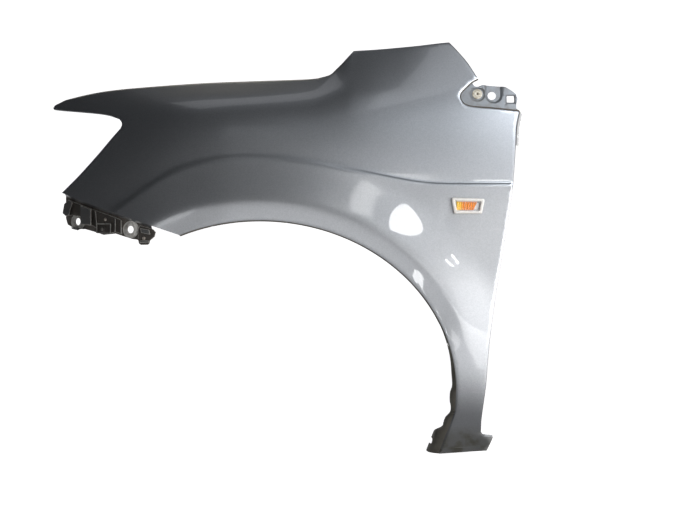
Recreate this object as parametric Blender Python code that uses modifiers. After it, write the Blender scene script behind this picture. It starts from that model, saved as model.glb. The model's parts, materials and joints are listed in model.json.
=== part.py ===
# Left front fender of a small car, taken off the car with its side lamp, the screw grommet of its
# cowl bracket and the plastic bumper guides still fitted.
# X runs towards the rear of the car, Y inboard and Z up. Outlines are drawn in the X-Z plane round
# the centre of the wheel arch, and everything is then moved so that the origin lies under the
# middle bolt pad of the hood rail, where the fender sits on the body.

import math

import bmesh
import bpy
from mathutils import Matrix, Vector
from mathutils.geometry import delaunay_2d_cdt

MM = 0.001

# Sheet and clearances
SHEET = 0.8 * MM
GAP = 0.3 * MM
SKIN_GRID = 18 * MM
EDGE_STEP = 15 * MM
FINE_STEP = 5 * MM

# Wheel arch, an ellipse round the origin of the outlines
ARCH_HALF_WIDTH = 347.5 * MM
ARCH_HEIGHT = 302 * MM
ARCH_FRONT_X = -142 * MM
ARCH_FLANGE = 19 * MM
FLANGE_TURN_TOP = 120 * MM
FLANGE_TURN_LOW = 70 * MM

# Form of the skin, as depth inboard of the outermost line
DOOR_PLANE = 15.5 * MM
PLAN_START = -50 * MM
PLAN_CURVE = 1.05
UPPER_LEAN = 0.13
ROLL_HEIGHT = 541 * MM
ROLL_POWER = 3.2
SHOULDER_STEP = 3.5 * MM
BELLY_HEIGHT = 250 * MM
BELLY_CURVE = 0.11
FLARE_WIDTH = 112 * MM
FLARE_SLOPE = 0.17
LIP_BAND = 33 * MM
LIP_TUCK = 0.24
TAIL_TUCK_HEIGHT = -30 * MM
TAIL_TUCK_CURVE = 2.2

# Outline and guide lines of the skin, (x, z) in millimetres
HOOD_LINE = [(-397, 534), (-385, 538.5), (-309, 550), (-215, 556), (-90, 563), (11, 566), (101, 567)]
COWL_STEP = [(101, 567), (123, 572), (134, 582), (146, 594), (157, 606), (167, 617)]
SAIL_TOP = [(167, 617), (195, 617), (222, 618), (279, 621.5), (320, 625.5), (340, 627)]
PILLAR_EDGE = [(340, 627), (352, 613), (371, 588), (389, 557)]
COWL_NOTCH = [(389, 557), (378, 551), (367, 541), (358, 531), (356, 522), (360, 513), (369, 507),
              (385, 504), (420, 501), (461, 496)]
DOOR_TAB_TOP = [(461, 496), (455, 468)]
SHOULDER_MARGIN = 7.5 * MM

# Outlines behind the arch, with x from the rear end of the arch. The door line's top keeps its own place
DOOR_TOP_X = 453 * MM
DOOR_FOLLOW_LOW = 75 * MM
DOOR_FOLLOW_TOP = 435 * MM
DOOR_LINE = [(105.5, 435), (101.5, 385), (95.5, 337), (86.5, 280), (76.5, 220), (65.5, 150), (56.5, 75),
             (51.5, 10), (44.5, -45), (43.5, -72)]
FOOT_LINE = [(43.5, -72), (46.5, -76), (63.5, -78), (64.5, -82), (54.5, -107)]
TAIL_INSETS = [(3, -37), (9, -56), (15, -75), (21, -92), (28, -113)]
LOWER_EDGE = [(-375, 356), (-345, 344), (-301, 328.5), (-260, 315), (-224, 303), (-188, 291),
              (-158, 281)]
LAMP_EDGE = [(-375, 356), (-338, 388), (-302, 424), (-272, 458), (-260, 472), (-258, 482), (-264, 490)]
TIP_EDGE = [(-264, 490), (-298, 501), (-385, 515), (-409, 520), (-412, 524), (-409, 529), (-397, 534)]
SHOULDER_LINE = [(-261, 324), (-159, 387), (-77, 411), (-10, 416), (80, 407), (179, 389), (260, 373),
                 (310, 367), (450, 366)]
ROLL_DEPTH = [(-370, 95), (-200, 99), (-100, 95), (0, 88), (80, 80), (130, 62), (165, 50), (250, 43),
              (330, 38), (450, 30)]

# Flanges turned from the edges of the skin
RAIL_SETBACK = 3 * MM
RAIL_WIDTH = 27 * MM
RAIL_FRONT_X = -370 * MM
RAIL_PAD_LENGTH = 44 * MM
RAIL_PADS = [(-285, 534), (-110, 545), (60, 549.5)]
RAIL_ENDS = [(-372, 522), (101, 550.5)]
RAIL_SLOT_LENGTH = 14 * MM
RAIL_SLOT_WIDTH = 9 * MM
SAIL_FLANGE = 13 * MM
DOOR_FLANGE = 12 * MM
LAMP_EDGE_FLANGE = 12 * MM
DOOR_TAB_DEPTH = 31 * MM
DOOR_TAB_REACH = 9 * MM
DOOR_TAB_HOLE_Z = 453 * MM
DOOR_TAB_HOLE_RADIUS = 5 * MM
LINER_HOLE_RADIUS = 4 * MM
LINER_HOLE_ANGLES = (104, 82, 60, 38, 16)

# How far the arch flange reaches into the arch beside the tail, by height
FLANGE_REACH = [(-76, 12.5), (-66, 12), (-48, 12.5), (-38, 7), (-27, 8), (-18, 10.5), (-2, 10.5), (8, 7),
                (30, 6.5), (60, 4.2), (110, 2.5)]

# Foot, with the step over its rear half and the slotted tab at the arch side
FOOT_STEP = 5 * MM
FOOT_STEP_LINE = [(18.5, -82), (46.5, -76), (64.5, -78)]
FOOT_STEP_TOPS = [(32.5, -79), (46.5, -76), (58.5, -77)]
FOOT_STEP_HEIGHT = 5 * MM
FOOT_TAB_TOP = -76 * MM
FOOT_TAB_DEPTH = 42 * MM
FOOT_TAB_REACH = 22 * MM
FOOT_SLOT_Z = -93 * MM
FOOT_SLOT_RADIUS = 5 * MM

# Cowl bracket, one flat plate set back from the skin
BRACKET_SETBACK = 9 * MM
BRACKET_CENTRE = (410, 520)
BRACKET_WALL = 2.5 * MM
BRACKET_OUTLINE = [(381, 546), (384, 543.5), (388, 542.5), (392, 543.5), (397, 546), (424, 543.5),
                   (438, 542), (449, 535), (456, 529), (459, 519), (456.5, 510), (456, 502)]
GROMMET_POCKET = (388, 529)
GROMMET_POCKET_RADIUS = 15 * MM
GROMMET_POCKET_FLOOR = 11 * MM
GROMMET_POCKET_DEPTH = 4 * MM
GROMMET_HOLE_RADIUS = 5.2 * MM
EMBOSS_CENTRE = (417, 527)
EMBOSS_RADIUS = 16 * MM
EMBOSS_FLOOR = 12 * MM
EMBOSS_DEPTH = 5.5 * MM
EMBOSS_HOLE = (414, 526)
EMBOSS_HOLE_RADIUS = 7.3 * MM
WINDOW_CENTRE = (446.5, 519)
WINDOW_SIZE = (13 * MM, 12 * MM)
WINDOW_RIM = 2.5 * MM
WINDOW_DEPTH = 2.5 * MM

# Bumper flange under the front of the skin, with its two bolt ears. Its depth is drawn along x
FLANGE_RUN = [(-375, 151), (-340, 122), (-300, 92.5), (-260, 64), (-225, 44.2), (-192, 30)]
BUMPER_JOGGLE = 4 * MM
BUMPER_OUTLINE = [(-368, 342), (-368, 309), (-364, 297), (-354, 292), (-326, 288), (-303, 282),
                  (-287, 277), (-262, 279), (-246, 274), (-229, 269), (-220, 268), (-213, 264),
                  (-199, 264), (-192, 272), (-192, 284)]
EAR_HOLES = [(-341, 302), (-232, 286)]
EAR_HOLE_RADIUS = 6.6 * MM
EAR_PAD_RADIUS = 10 * MM
EAR_PAD_BLEND = 13 * MM
EAR_RAISES = (0.0, 2.5 * MM)

# Plastic guides on the bumper flange, with the outlines and heights of the blocks moulded on them
GUIDE_GAP = 0.45 * MM
GUIDE_WALL = 2.6 * MM
GUIDE_HOLE_LENGTH = 30 * MM
GUIDE_OUTLINE = [(-361, 343), (-370, 336), (-373.5, 318), (-367, 312.5), (-353, 314), (-334, 311),
                 (-333, 296), (-310, 294), (-302, 290), (-301, 280), (-270, 279.5), (-262, 282),
                 (-249, 278), (-249, 301), (-251, 303.5), (-262, 308), (-301, 321), (-345, 336.5)]
GUIDE_BLOCKS = [
    ([(-360, 342), (-369.5, 335), (-373, 318), (-367, 313), (-359, 314), (-351, 338)], 9 * MM),
    ([(-332.5, 331), (-310.5, 323), (-310.5, 295), (-332.5, 297)], 13 * MM),
    ([(-304, 320), (-302, 320), (-299.5, 296), (-301.5, 296)], 6 * MM),
    ([(-301, 296), (-299, 296), (-299, 280.5), (-301, 280.5)], 7 * MM),
    ([(-272.5, 296), (-270.5, 296), (-270.5, 280.5), (-272.5, 280.5)], 7 * MM),
    ([(-300.5, 298), (-271, 298), (-271, 296), (-300.5, 296)], 5 * MM),
    ([(-263, 306), (-261, 306), (-261, 283), (-263, 283)], 6 * MM),
    ([(-251.5, 302), (-249.5, 302), (-249.5, 280), (-251.5, 280)], 4 * MM),
]
END_GUIDE_OUTLINE = [(-217, 287), (-214, 293), (-199, 289.5), (-189, 286), (-184, 281), (-186, 273),
                     (-195, 266), (-196, 261), (-199, 258.5), (-212, 258.5), (-216, 261), (-217.5, 268)]
END_GUIDE_WALL = 3.5 * MM
END_GUIDE_BLOCKS = [
    ([(-213, 288), (-196, 285), (-194, 277), (-199, 277.5), (-211, 280)], 6 * MM),
    ([(-214, 266), (-197, 266), (-197, 262), (-214, 262)], 5 * MM),
]
FRONT_RIVET = (-281, 305)
REAR_RIVET = (-205, 270.5)
RIVET_HEAD_RADIUS = 3.4 * MM
RIVET_HEAD_HEIGHT = 1.1 * MM
RIVET_RADIUS = 2.1 * MM
RIVET_BORE = 1 * MM
PUSH_CLIP = (-286, 287)
CLIP_HEAD_RADIUS = 6.8 * MM
CLIP_HEAD_HEIGHT = 1.6 * MM
CLIP_SHANK_RADIUS = 3.6 * MM
CLIP_SHANK_LENGTH = 11 * MM
CLIP_PIN_RADIUS = 1.9 * MM

# Grommet in the cowl bracket
GROMMET_HEAD_RADIUS = 9 * MM
GROMMET_HEAD_HEIGHT = 3 * MM
GROMMET_SHANK_LENGTH = 11 * MM
GROMMET_BORE = 1.7 * MM

# Side lamp, centred at LAMP_CENTRE on the skin. Its rim is a trapezoid in the plane of its seat
LAMP_CENTRE = (366, 327)
LAMP_RIM = [(-30, 15), (30, 12.8), (24.6, -14.4), (-25, -14.4)]
LAMP_CORNER = 3.5 * MM
LAMP_SEAT_HALF = (36 * MM, 21 * MM)
LAMP_SEAT_BLEND = 16 * MM
LAMP_HOLE_INSET = 4.5 * MM
LAMP_BODY_INSET = 6 * MM
LAMP_WALL = 1.6 * MM
GASKET_INSET = 1.5 * MM
GASKET_THICKNESS = 1.2 * MM
LENS_THICKNESS = 1.8 * MM
LENS_HEIGHT = 5 * MM
LENS_CROWN = 1.2 * MM
LAMP_BODY_DEPTH = 21 * MM
FILTER_THICKNESS = 1.2 * MM
FILTER_SHARE = 0.68
FILTER_RIB = 1.6 * MM
SOCKET_OFFSET = -7 * MM
SOCKET_BORE = 6.6 * MM
SOCKET_COLLAR = 8.4 * MM
HOLDER_LENGTH = 17 * MM
HOLDER_FLANGE_RADIUS = 10 * MM
HOLDER_FLANGE = 2.2 * MM
HOLDER_POCKET = 3 * MM
BULB_RADIUS = 4.6 * MM
BULB_NECK = 2.6 * MM
SEAL_SECTION = 0.9 * MM
TERMINAL_SIZE = (0.8 * MM, 2.8 * MM, 9 * MM)
TERMINAL_SPACING = 4 * MM
CLIP_BAND = 8 * MM
CLIP_SHEET = 0.5 * MM

# Finishes: colour, roughness, metallic
FINISHES = {
    "grey_paint": ((0.155, 0.165, 0.180, 1.0), 0.32, 0.75),
    "black_plastic": ((0.028, 0.028, 0.028, 1.0), 0.62, 0.0),
    "grey_plastic": ((0.12, 0.12, 0.12, 1.0), 0.55, 0.0),
    "white_nylon": ((0.74, 0.72, 0.66, 1.0), 0.45, 0.0),
    "clear_plastic": ((0.90, 0.90, 0.88, 0.35), 0.10, 0.0),
    "amber_plastic": ((0.95, 0.38, 0.02, 1.0), 0.22, 0.0),
    "soft_rubber": ((0.03, 0.03, 0.03, 1.0), 0.85, 0.0),
    "zinc_steel": ((0.62, 0.60, 0.56, 1.0), 0.38, 1.0),
    "spring_steel": ((0.35, 0.35, 0.36, 1.0), 0.40, 1.0),
    "brass_blade": ((0.72, 0.55, 0.26, 1.0), 0.35, 1.0),
    "bulb_glass": ((0.85, 0.85, 0.82, 0.5), 0.08, 0.0),
}


def metres(points):
    """Points written in millimetres, as metres."""
    return [(x * MM, z * MM) for x, z in points]


def curve_value(points, x):
    """Height at x of the smooth line through points sorted along x, straight beyond its ends."""
    count = len(points)

    def slope(i):
        low = max(i - 1, 0)
        high = min(i + 1, count - 1)
        return (points[high][1] - points[low][1]) / (points[high][0] - points[low][0])

    if x <= points[0][0]:
        return points[0][1] + slope(0) * (x - points[0][0])
    if x >= points[-1][0]:
        return points[-1][1] + slope(count - 1) * (x - points[-1][0])
    i = 0
    while x > points[i + 1][0]:
        i += 1
    span = points[i + 1][0] - points[i][0]
    t = (x - points[i][0]) / span
    start = points[i][1] * (2 * t ** 3 - 3 * t ** 2 + 1) + slope(i) * span * (t ** 3 - 2 * t ** 2 + t)
    end = points[i + 1][1] * (3 * t ** 2 - 2 * t ** 3) + slope(i + 1) * span * (t ** 3 - t ** 2)
    return start + end


def soft_ramp(value, radius):
    """Zero below zero and the value itself above, rounded where they meet."""
    return 0.5 * (value + math.hypot(value, radius))


def blend(value, low, high):
    """Rises smoothly from 0 at low to 1 at high."""
    t = min(1.0, max(0.0, (value - low) / (high - low)))
    return t * t * (3 - 2 * t)


SHOULDER = metres(SHOULDER_LINE)
ROLL = metres(ROLL_DEPTH)
LOWER = metres(LOWER_EDGE)
HOOD = metres(HOOD_LINE)
FLANGE = metres(FLANGE_RUN)
BRACKET_AT = (BRACKET_CENTRE[0] * MM, BRACKET_CENTRE[1] * MM)
LAMP_AT = (LAMP_CENTRE[0] * MM, LAMP_CENTRE[1] * MM)


def behind_arch(points):
    """Points written from the rear end of the arch in millimetres, as metres."""
    slack = DOOR_TOP_X - ARCH_HALF_WIDTH - DOOR_LINE[0][0] * MM
    made = []
    for x, z in points:
        share = blend(z * MM, DOOR_FOLLOW_LOW, DOOR_FOLLOW_TOP)
        made.append((ARCH_HALF_WIDTH + x * MM + share * slack, z * MM))
    return made


def lip_distance(x, z):
    """Distance of a point outside the arch lip, measured from the arch centre."""
    share = math.hypot(x / ARCH_HALF_WIDTH, z / ARCH_HEIGHT)
    return math.hypot(x, z) * (1 - 1 / share)


def flare(x, z):
    """How far the flare round the arch stands out, with its crest and the lip band below it."""
    from_lip = lip_distance(x, z)
    tuck = FLARE_SLOPE + LIP_TUCK * blend(z, 60 * MM, 150 * MM)
    rise = FLARE_SLOPE * soft_ramp(FLARE_WIDTH - from_lip, 24 * MM)
    rise -= tuck * soft_ramp(LIP_BAND - from_lip, 7 * MM)
    return rise * (0.35 + 0.65 * blend(z, 20 * MM, 220 * MM))


def open_skin_depth(x, z):
    """Depth of the skin before the lamp seat is pressed flat."""
    shoulder = curve_value(SHOULDER, x)
    above = z - shoulder
    roll_span = ROLL_HEIGHT - shoulder
    share = max(0.0, above) / roll_span
    roll = share ** ROLL_POWER if share < 1 else 1 + ROLL_POWER * (share - 1)
    depth = DOOR_PLANE
    depth += PLAN_CURVE * max(0.0, PLAN_START - x) ** 2
    depth += UPPER_LEAN * soft_ramp(above, 8 * MM)
    depth += (curve_value(ROLL, x) - UPPER_LEAN * roll_span) * roll
    depth -= SHOULDER_STEP * blend(-above, -6 * MM, 8 * MM)
    depth += BELLY_CURVE * min(0.0, z - BELLY_HEIGHT) ** 2
    depth += TAIL_TUCK_CURVE * max(0.0, TAIL_TUCK_HEIGHT - z) ** 2
    return depth - flare(x, z)


def slopes(surface, x, z):
    """Slopes of a surface along x and along z."""
    reach = 2 * MM
    along_x = (surface(x + reach, z) - surface(x - reach, z)) / (2 * reach)
    along_z = (surface(x, z + reach) - surface(x, z - reach)) / (2 * reach)
    return along_x, along_z


LAMP_DEPTH = open_skin_depth(*LAMP_AT)
LAMP_SLOPES = slopes(open_skin_depth, *LAMP_AT)


def lamp_plane(x, z):
    """Depth of the flat seat of the lamp."""
    return LAMP_DEPTH + LAMP_SLOPES[0] * (x - LAMP_AT[0]) + LAMP_SLOPES[1] * (z - LAMP_AT[1])


def skin_depth(x, z):
    """Depth of the finished skin, with the lamp seat flat and the step of the foot."""
    depth = open_skin_depth(x, z)
    past_x = max(0.0, abs(x - LAMP_AT[0]) - LAMP_SEAT_HALF[0])
    past_z = max(0.0, abs(z - LAMP_AT[1]) - LAMP_SEAT_HALF[1])
    past = math.hypot(past_x, past_z)
    if past < LAMP_SEAT_BLEND:
        share = blend(past, 0.0, LAMP_SEAT_BLEND)
        depth = depth * share + lamp_plane(x, z) * (1 - share)
    step_line = behind_arch(FOOT_STEP_LINE)
    if x > step_line[0][0] and z < 0:
        top = curve_value(step_line, x)
        share = blend(x, step_line[0][0], step_line[-1][0])
        height = 1 * MM + FOOT_STEP_HEIGHT * share
        depth -= FOOT_STEP * share * (1 - blend(z, top - height, top))
    return depth


BRACKET_DEPTH = open_skin_depth(*BRACKET_AT) + BRACKET_SETBACK
BRACKET_SLOPES = slopes(open_skin_depth, *BRACKET_AT)


def bracket_plane(x, z):
    """Depth of the flat plate of the cowl bracket."""
    across = BRACKET_SLOPES[0] * (x - BRACKET_AT[0])
    up = BRACKET_SLOPES[1] * (z - BRACKET_AT[1])
    return BRACKET_DEPTH + across + up


def bracket_depth(x, z):
    """Depth of the cowl bracket with its pocket, its open emboss and its window."""
    pocket_at = math.hypot(x - GROMMET_POCKET[0] * MM, z - GROMMET_POCKET[1] * MM)
    pocket = GROMMET_POCKET_DEPTH * (1 - blend(pocket_at, GROMMET_POCKET_FLOOR, GROMMET_POCKET_RADIUS))
    below = min(0.0, z - EMBOSS_CENTRE[1] * MM)
    emboss_at = math.hypot(x - EMBOSS_CENTRE[0] * MM, below)
    emboss = EMBOSS_DEPTH * (1 - blend(emboss_at, EMBOSS_FLOOR, EMBOSS_RADIUS))
    past_x = abs(x - WINDOW_CENTRE[0] * MM) - WINDOW_SIZE[0] / 2
    past_z = abs(z - WINDOW_CENTRE[1] * MM) - WINDOW_SIZE[1] / 2
    window = WINDOW_DEPTH * (1 - blend(max(past_x, past_z), 0.0, WINDOW_RIM))
    return bracket_plane(x, z) + max(pocket, emboss, window)


def flange_run(x):
    """Depth of the bumper flange behind the lower edge of the skin."""
    return curve_value(FLANGE, x)


def flange_slope(x):
    """Slope of the bumper flange along x."""
    return (flange_run(x + 2 * MM) - flange_run(x - 2 * MM)) / (4 * MM)


def flange_depth(x, z):
    """Depth of the bumper flange, with its flat raised ears."""
    depth = flange_run(x)
    for (ear_x, ear_z), raised in zip(metres(EAR_HOLES), EAR_RAISES):
        past = math.hypot(x - ear_x, z - ear_z)
        if past < EAR_PAD_BLEND:
            flat = flange_run(ear_x) + flange_slope(ear_x) * (x - ear_x) - raised
            share = blend(past, EAR_PAD_RADIUS, EAR_PAD_BLEND)
            depth = depth * share + flat * (1 - share)
    return depth


def rail_height(x):
    """Height of the hood rail's ledge: level at each bolt pad, sloping between them."""
    knots = [RAIL_ENDS[0]]
    half = RAIL_PAD_LENGTH / MM / 2
    for pad_x, pad_z in RAIL_PADS:
        knots += [(pad_x - half, pad_z), (pad_x + half, pad_z)]
    knots = metres(knots + [RAIL_ENDS[1]])
    i = 0
    while i < len(knots) - 2 and x > knots[i + 1][0] + 1e-9:
        i += 1
    share = (x - knots[i][0]) / (knots[i + 1][0] - knots[i][0])
    return knots[i][1] + (knots[i + 1][1] - knots[i][1]) * share


def rail_outer(x):
    """Depth of the hood rail's outer border at x."""
    return skin_depth(x, curve_value(HOOD, x)) + RAIL_SETBACK


SEAT_X = RAIL_PADS[1][0] * MM + 0.3 * RAIL_PAD_LENGTH
SEAT = Vector((SEAT_X, rail_outer(SEAT_X) + RAIL_WIDTH / 2, RAIL_PADS[1][1] * MM - SHEET))


def collection(name):
    """A new collection in the scene."""
    made = bpy.data.collections.new(name)
    bpy.context.scene.collection.children.link(made)
    return made


def finish(name):
    """The material of one finish, made once."""
    made = bpy.data.materials.get(name)
    if made:
        return made
    colour, roughness, metallic = FINISHES[name]
    made = bpy.data.materials.new(name)
    made.use_nodes = True
    shader = made.node_tree.nodes["Principled BSDF"]
    shader.inputs["Base Color"].default_value = colour
    shader.inputs["Roughness"].default_value = roughness
    shader.inputs["Metallic"].default_value = metallic
    shader.inputs["Alpha"].default_value = colour[3]
    made.diffuse_color = colour
    return made


def add_object(name, shape, group, finish_name=None):
    """An object made from a bmesh, which it frees."""
    mesh = bpy.data.meshes.new(name)
    shape.to_mesh(mesh)
    shape.free()
    made = bpy.data.objects.new(name, mesh)
    group.objects.link(made)
    if finish_name:
        mesh.materials.append(finish(finish_name))
    return made


def add_cutter(name, shape, group):
    """A cutter object, drawn as wire and left out of renders."""
    made = add_object(name, shape, group)
    made.hide_render = True
    made.display_type = "WIRE"
    return made


def cut(target, cutter, operation="DIFFERENCE"):
    """A Boolean between two objects."""
    step = target.modifiers.new(cutter.name, "BOOLEAN")
    step.object = cutter
    step.operation = operation
    step.solver = "EXACT"


def smooth_line(points, step):
    """Points about a step apart on the smooth curve through the given ones, both ends kept."""
    line = [Vector(point) for point in points]
    ends = [2 * line[0] - line[1]] + line + [2 * line[-1] - line[-2]]
    made = []
    for i in range(1, len(ends) - 2):
        before, start, end, after = ends[i - 1:i + 3]
        count = max(1, round((end - start).length / step))
        for k in range(count):
            t = k / count
            pull = (end - before) * (t ** 3 - 2 * t ** 2 + t) / 2
            pull += (after - start) * (t ** 3 - t ** 2) / 2
            made.append(start * (2 * t ** 3 - 3 * t ** 2 + 1) + end * (3 * t ** 2 - 2 * t ** 3) + pull)
    made.append(line[-1])
    return made


def straight_line(points, step):
    """Points about a step apart on the straight runs between the given ones."""
    made = []
    for start, end in zip(points, points[1:]):
        start = Vector(start)
        end = Vector(end)
        count = max(1, round((end - start).length / step))
        made += [start.lerp(end, k / count) for k in range(count)]
    return made + [Vector(points[-1])]


def ring(centre, radius_x, radius_z, count, start=0.0):
    """A closed ring of points."""
    made = []
    for k in range(count):
        angle = start + 2 * math.pi * k / count
        made.append(Vector((centre[0] + radius_x * math.cos(angle), centre[1] + radius_z * math.sin(angle))))
    return made


def inset_corners(corners, inset):
    """The corners of a convex outline, listed clockwise, moved in from every side."""
    made = []
    count = len(corners)
    for i in range(count):
        here = Vector(corners[i])
        into = (here - Vector(corners[i - 1])).normalized()
        out = (Vector(corners[(i + 1) % count]) - here).normalized()
        normal_in = Vector((into.y, -into.x))
        normal_out = Vector((out.y, -out.x))
        turn = normal_in + normal_out
        made.append(here + turn * (inset / turn.dot(normal_in)))
    return made


def rounded_outline(corners, radius, count=4):
    """A closed outline with its corners rounded by arcs."""
    made = []
    total = len(corners)
    for i in range(total):
        here = Vector(corners[i])
        back = (Vector(corners[i - 1]) - here).normalized()
        ahead = (Vector(corners[(i + 1) % total]) - here).normalized()
        half = back.angle(ahead) / 2
        reach = radius / math.tan(half)
        middle = here + (back + ahead).normalized() * (radius / math.sin(half))
        first = here + back * reach - middle
        last = here + ahead * reach - middle
        for k in range(count + 1):
            spoke = first.lerp(last, k / count).normalized()
            made.append(middle + spoke * radius)
    return made


def lamp_outline(inset, corner=None):
    """The lamp's rim outline moved in, with rounded corners, in the plane of its seat."""
    corner = LAMP_CORNER if corner is None else corner
    corners = inset_corners(metres(LAMP_RIM), inset)
    return rounded_outline(corners, max(corner - inset * 0.4, 1.2 * MM))


def inside(point, outline):
    """True if the point lies inside the closed outline."""
    x, z = point
    found = False
    for i in range(len(outline)):
        x0, z0 = outline[i - 1]
        x1, z1 = outline[i]
        if (z0 > z) != (z1 > z) and x < (x1 - x0) * (z - z0) / (z1 - z0) + x0:
            found = not found
    return found


def is_among(x, z, points):
    """True if a point is one of the given ones."""
    return any(math.hypot(p.x - x, p.y - z) < 0.005 * MM for p in points)


def fill_sheet(outline, lines, holes, spacing, depth_of, gap_share=0.62):
    """An open surface over an outline in the X-Z plane, with the outer side facing -Y.

    lines are polylines that the triangles follow, holes are closed outlines left open, and
    depth_of(x, z) gives the depth of a point. Returns the bmesh and the outline's vertices.
    """
    points = [Vector(point) for point in outline]
    edges = [(i, (i + 1) % len(points)) for i in range(len(points))]
    for hole in holes:
        first = len(points)
        points += [Vector(point) for point in hole]
        edges += [(first + i, first + (i + 1) % len(hole)) for i in range(len(hole))]
    index = {(round(p.x, 7), round(p.y, 7)): i for i, p in enumerate(points)}
    for line in lines:
        numbers = []
        for point in line:
            key = (round(point[0], 7), round(point[1], 7))
            if key not in index:
                index[key] = len(points)
                points.append(Vector(point))
            numbers.append(index[key])
        edges += list(zip(numbers, numbers[1:]))
    near = {}
    for point in points:
        near.setdefault((int(point.x // spacing), int(point.y // spacing)), []).append(point)
    low_x = min(p.x for p in points)
    high_x = max(p.x for p in points)
    low_z = min(p.y for p in points)
    high_z = max(p.y for p in points)
    row_height = spacing * math.sqrt(3) / 2
    grid = []
    for row in range(int((high_z - low_z) / row_height) + 1):
        for column in range(int((high_x - low_x) / spacing) + 1):
            x = low_x + (column + 0.5 * (row % 2)) * spacing
            z = low_z + (row + 0.5) * row_height
            cell = (int(x // spacing), int(z // spacing))
            around = [q for a in (-1, 0, 1) for b in (-1, 0, 1)
                      for q in near.get((cell[0] + a, cell[1] + b), [])]
            if any(math.hypot(q.x - x, q.y - z) < spacing * gap_share for q in around):
                continue
            if inside((x, z), outline) and not any(inside((x, z), hole) for hole in holes):
                grid.append(Vector((x, z)))
    made = delaunay_2d_cdt(points + grid, edges, [], 0, 1e-7)
    shape = bmesh.new()
    verts = [shape.verts.new((p.x, depth_of(p.x, p.y), p.y)) for p in made[0]]
    for face in made[2]:
        middle = sum((made[0][i] for i in face), Vector((0, 0))) / 3
        if not inside(middle, outline) or any(inside(middle, hole) for hole in holes):
            continue
        corners = [made[0][i] for i in face]
        turn = (corners[1] - corners[0]).cross(corners[2] - corners[0])
        order = face if turn > 0 else face[::-1]
        shape.faces.new([verts[i] for i in order])
    source = {}
    for i, origins in enumerate(made[3]):
        for origin in origins:
            source[origin] = i
    border = [verts[source[i]] for i in range(len(outline))]
    for vert in [v for v in shape.verts if not v.link_faces]:
        shape.verts.remove(vert)
    return shape, border


def add_flange(shape, edge, rows, outward):
    """Turns a flange from a run of border vertices. Each row maps a vertex and its outward
    direction in the X-Z plane to a new point."""
    last = list(edge)
    for row in rows:
        new = []
        for i, vert in enumerate(edge):
            new.append(shape.verts.new(row(vert.co, outward[i])))
        for i in range(len(edge) - 1):
            shape.faces.new((last[i], last[i + 1], new[i + 1], new[i]))
        last = new
    return last


def outward_directions(points):
    """Directions pointing out of a clockwise outline, one for each point of a run."""
    made = []
    for i in range(len(points)):
        along = points[min(i + 1, len(points) - 1)] - points[max(i - 1, 0)]
        along.normalize()
        made.append(Vector((-along.y, along.x)))
    return made


def turned(inboard, out=0.0):
    """A flange row set inboard of the skin's edge by one size and out of it by another."""
    def row(point, direction):
        return point + Vector((direction.x * out, inboard, direction.y * out))
    return row


def rail_row(inboard):
    """A row of the hood rail's ledge."""
    def row(point, direction):
        return Vector((point.x, point.y + RAIL_SETBACK + inboard, rail_height(point.x)))
    return row


def flange_reach(z):
    """Reach of the arch flange past the lip at a height."""
    reach = metres(FLANGE_REACH)
    return curve_value(reach, min(max(z, reach[0][0]), reach[-1][0]))


def arch_row(share):
    """A row of the flange behind the arch and the tail, which widens into the slotted tab at the foot."""
    def row(point, direction):
        tab = 1 - blend(point.z, FOOT_TAB_TOP, FOOT_TAB_TOP + 14 * MM)
        low = 1 - blend(point.z, FLANGE_TURN_LOW, FLANGE_TURN_TOP) if point.x > 0 else 0.0
        across = direction.lerp(Vector((-1, 0)), low).normalized()
        inboard = ARCH_FLANGE + (FOOT_TAB_DEPTH - ARCH_FLANGE) * tab
        reach = (flange_reach(point.z) * (1 - tab) + FOOT_TAB_REACH * tab) * share
        return point + Vector((across.x * reach, inboard * share, across.y * reach))
    return row


def cylinder(radius, depth, segments=24, top_radius=None):
    """A bmesh cylinder or cone standing on the X-Y plane's origin, centred in height."""
    shape = bmesh.new()
    top = radius if top_radius is None else top_radius
    bmesh.ops.create_cone(shape, cap_ends=True, segments=segments, radius1=radius, radius2=top, depth=depth)
    return shape


def move(shape, matrix):
    """Moves a whole bmesh."""
    bmesh.ops.transform(shape, matrix=matrix, verts=shape.verts)
    return shape


def join(shapes):
    """One bmesh from several, which stay separate bodies."""
    whole = shapes[0]
    for shape in shapes[1:]:
        spare = bpy.data.meshes.new("spare")
        shape.to_mesh(spare)
        shape.free()
        whole.from_mesh(spare)
        bpy.data.meshes.remove(spare)
    return whole


def frame_at(position, outward, up=Vector((0, 0, 1))):
    """A frame whose Z axis is the outward normal and whose Y axis leans to up."""
    z_axis = outward.normalized()
    x_axis = up.cross(z_axis).normalized()
    y_axis = z_axis.cross(x_axis)
    turn = Matrix((x_axis, y_axis, z_axis)).transposed().to_4x4()
    return Matrix.Translation(position) @ turn


def surface_frame(surface, x, z):
    """The frame of a surface at (x, z), with its Z axis pointing out of the car."""
    along_x, along_z = slopes(surface, x, z)
    return frame_at(Vector((x, surface(x, z), z)), Vector((along_x, -1, along_z)))


def place(made, matrix):
    """Puts an object by a frame of the outlines, moved so that the seat is the origin."""
    made.matrix_world = Matrix.Translation(-SEAT) @ matrix


def outline_stations(limits, step):
    """Values from the first limit to the last that include every limit."""
    made = []
    for start, end in zip(limits, limits[1:]):
        count = max(1, round((end - start) / step))
        made += [start + (end - start) * k / count for k in range(count)]
    return made + [limits[-1]]


def arch_points():
    """The arch lip from the rear, over the top, to the front."""
    end = math.acos(ARCH_FRONT_X / ARCH_HALF_WIDTH)
    start = math.asin(TAIL_INSETS[0][1] * MM / ARCH_HEIGHT) + 0.03
    count = round((end - start) * ARCH_HALF_WIDTH / EDGE_STEP)
    angles = [start + (end - start) * k / count for k in range(count + 1)]
    return [Vector((ARCH_HALF_WIDTH * math.cos(a), ARCH_HEIGHT * math.sin(a))) for a in angles]


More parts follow.
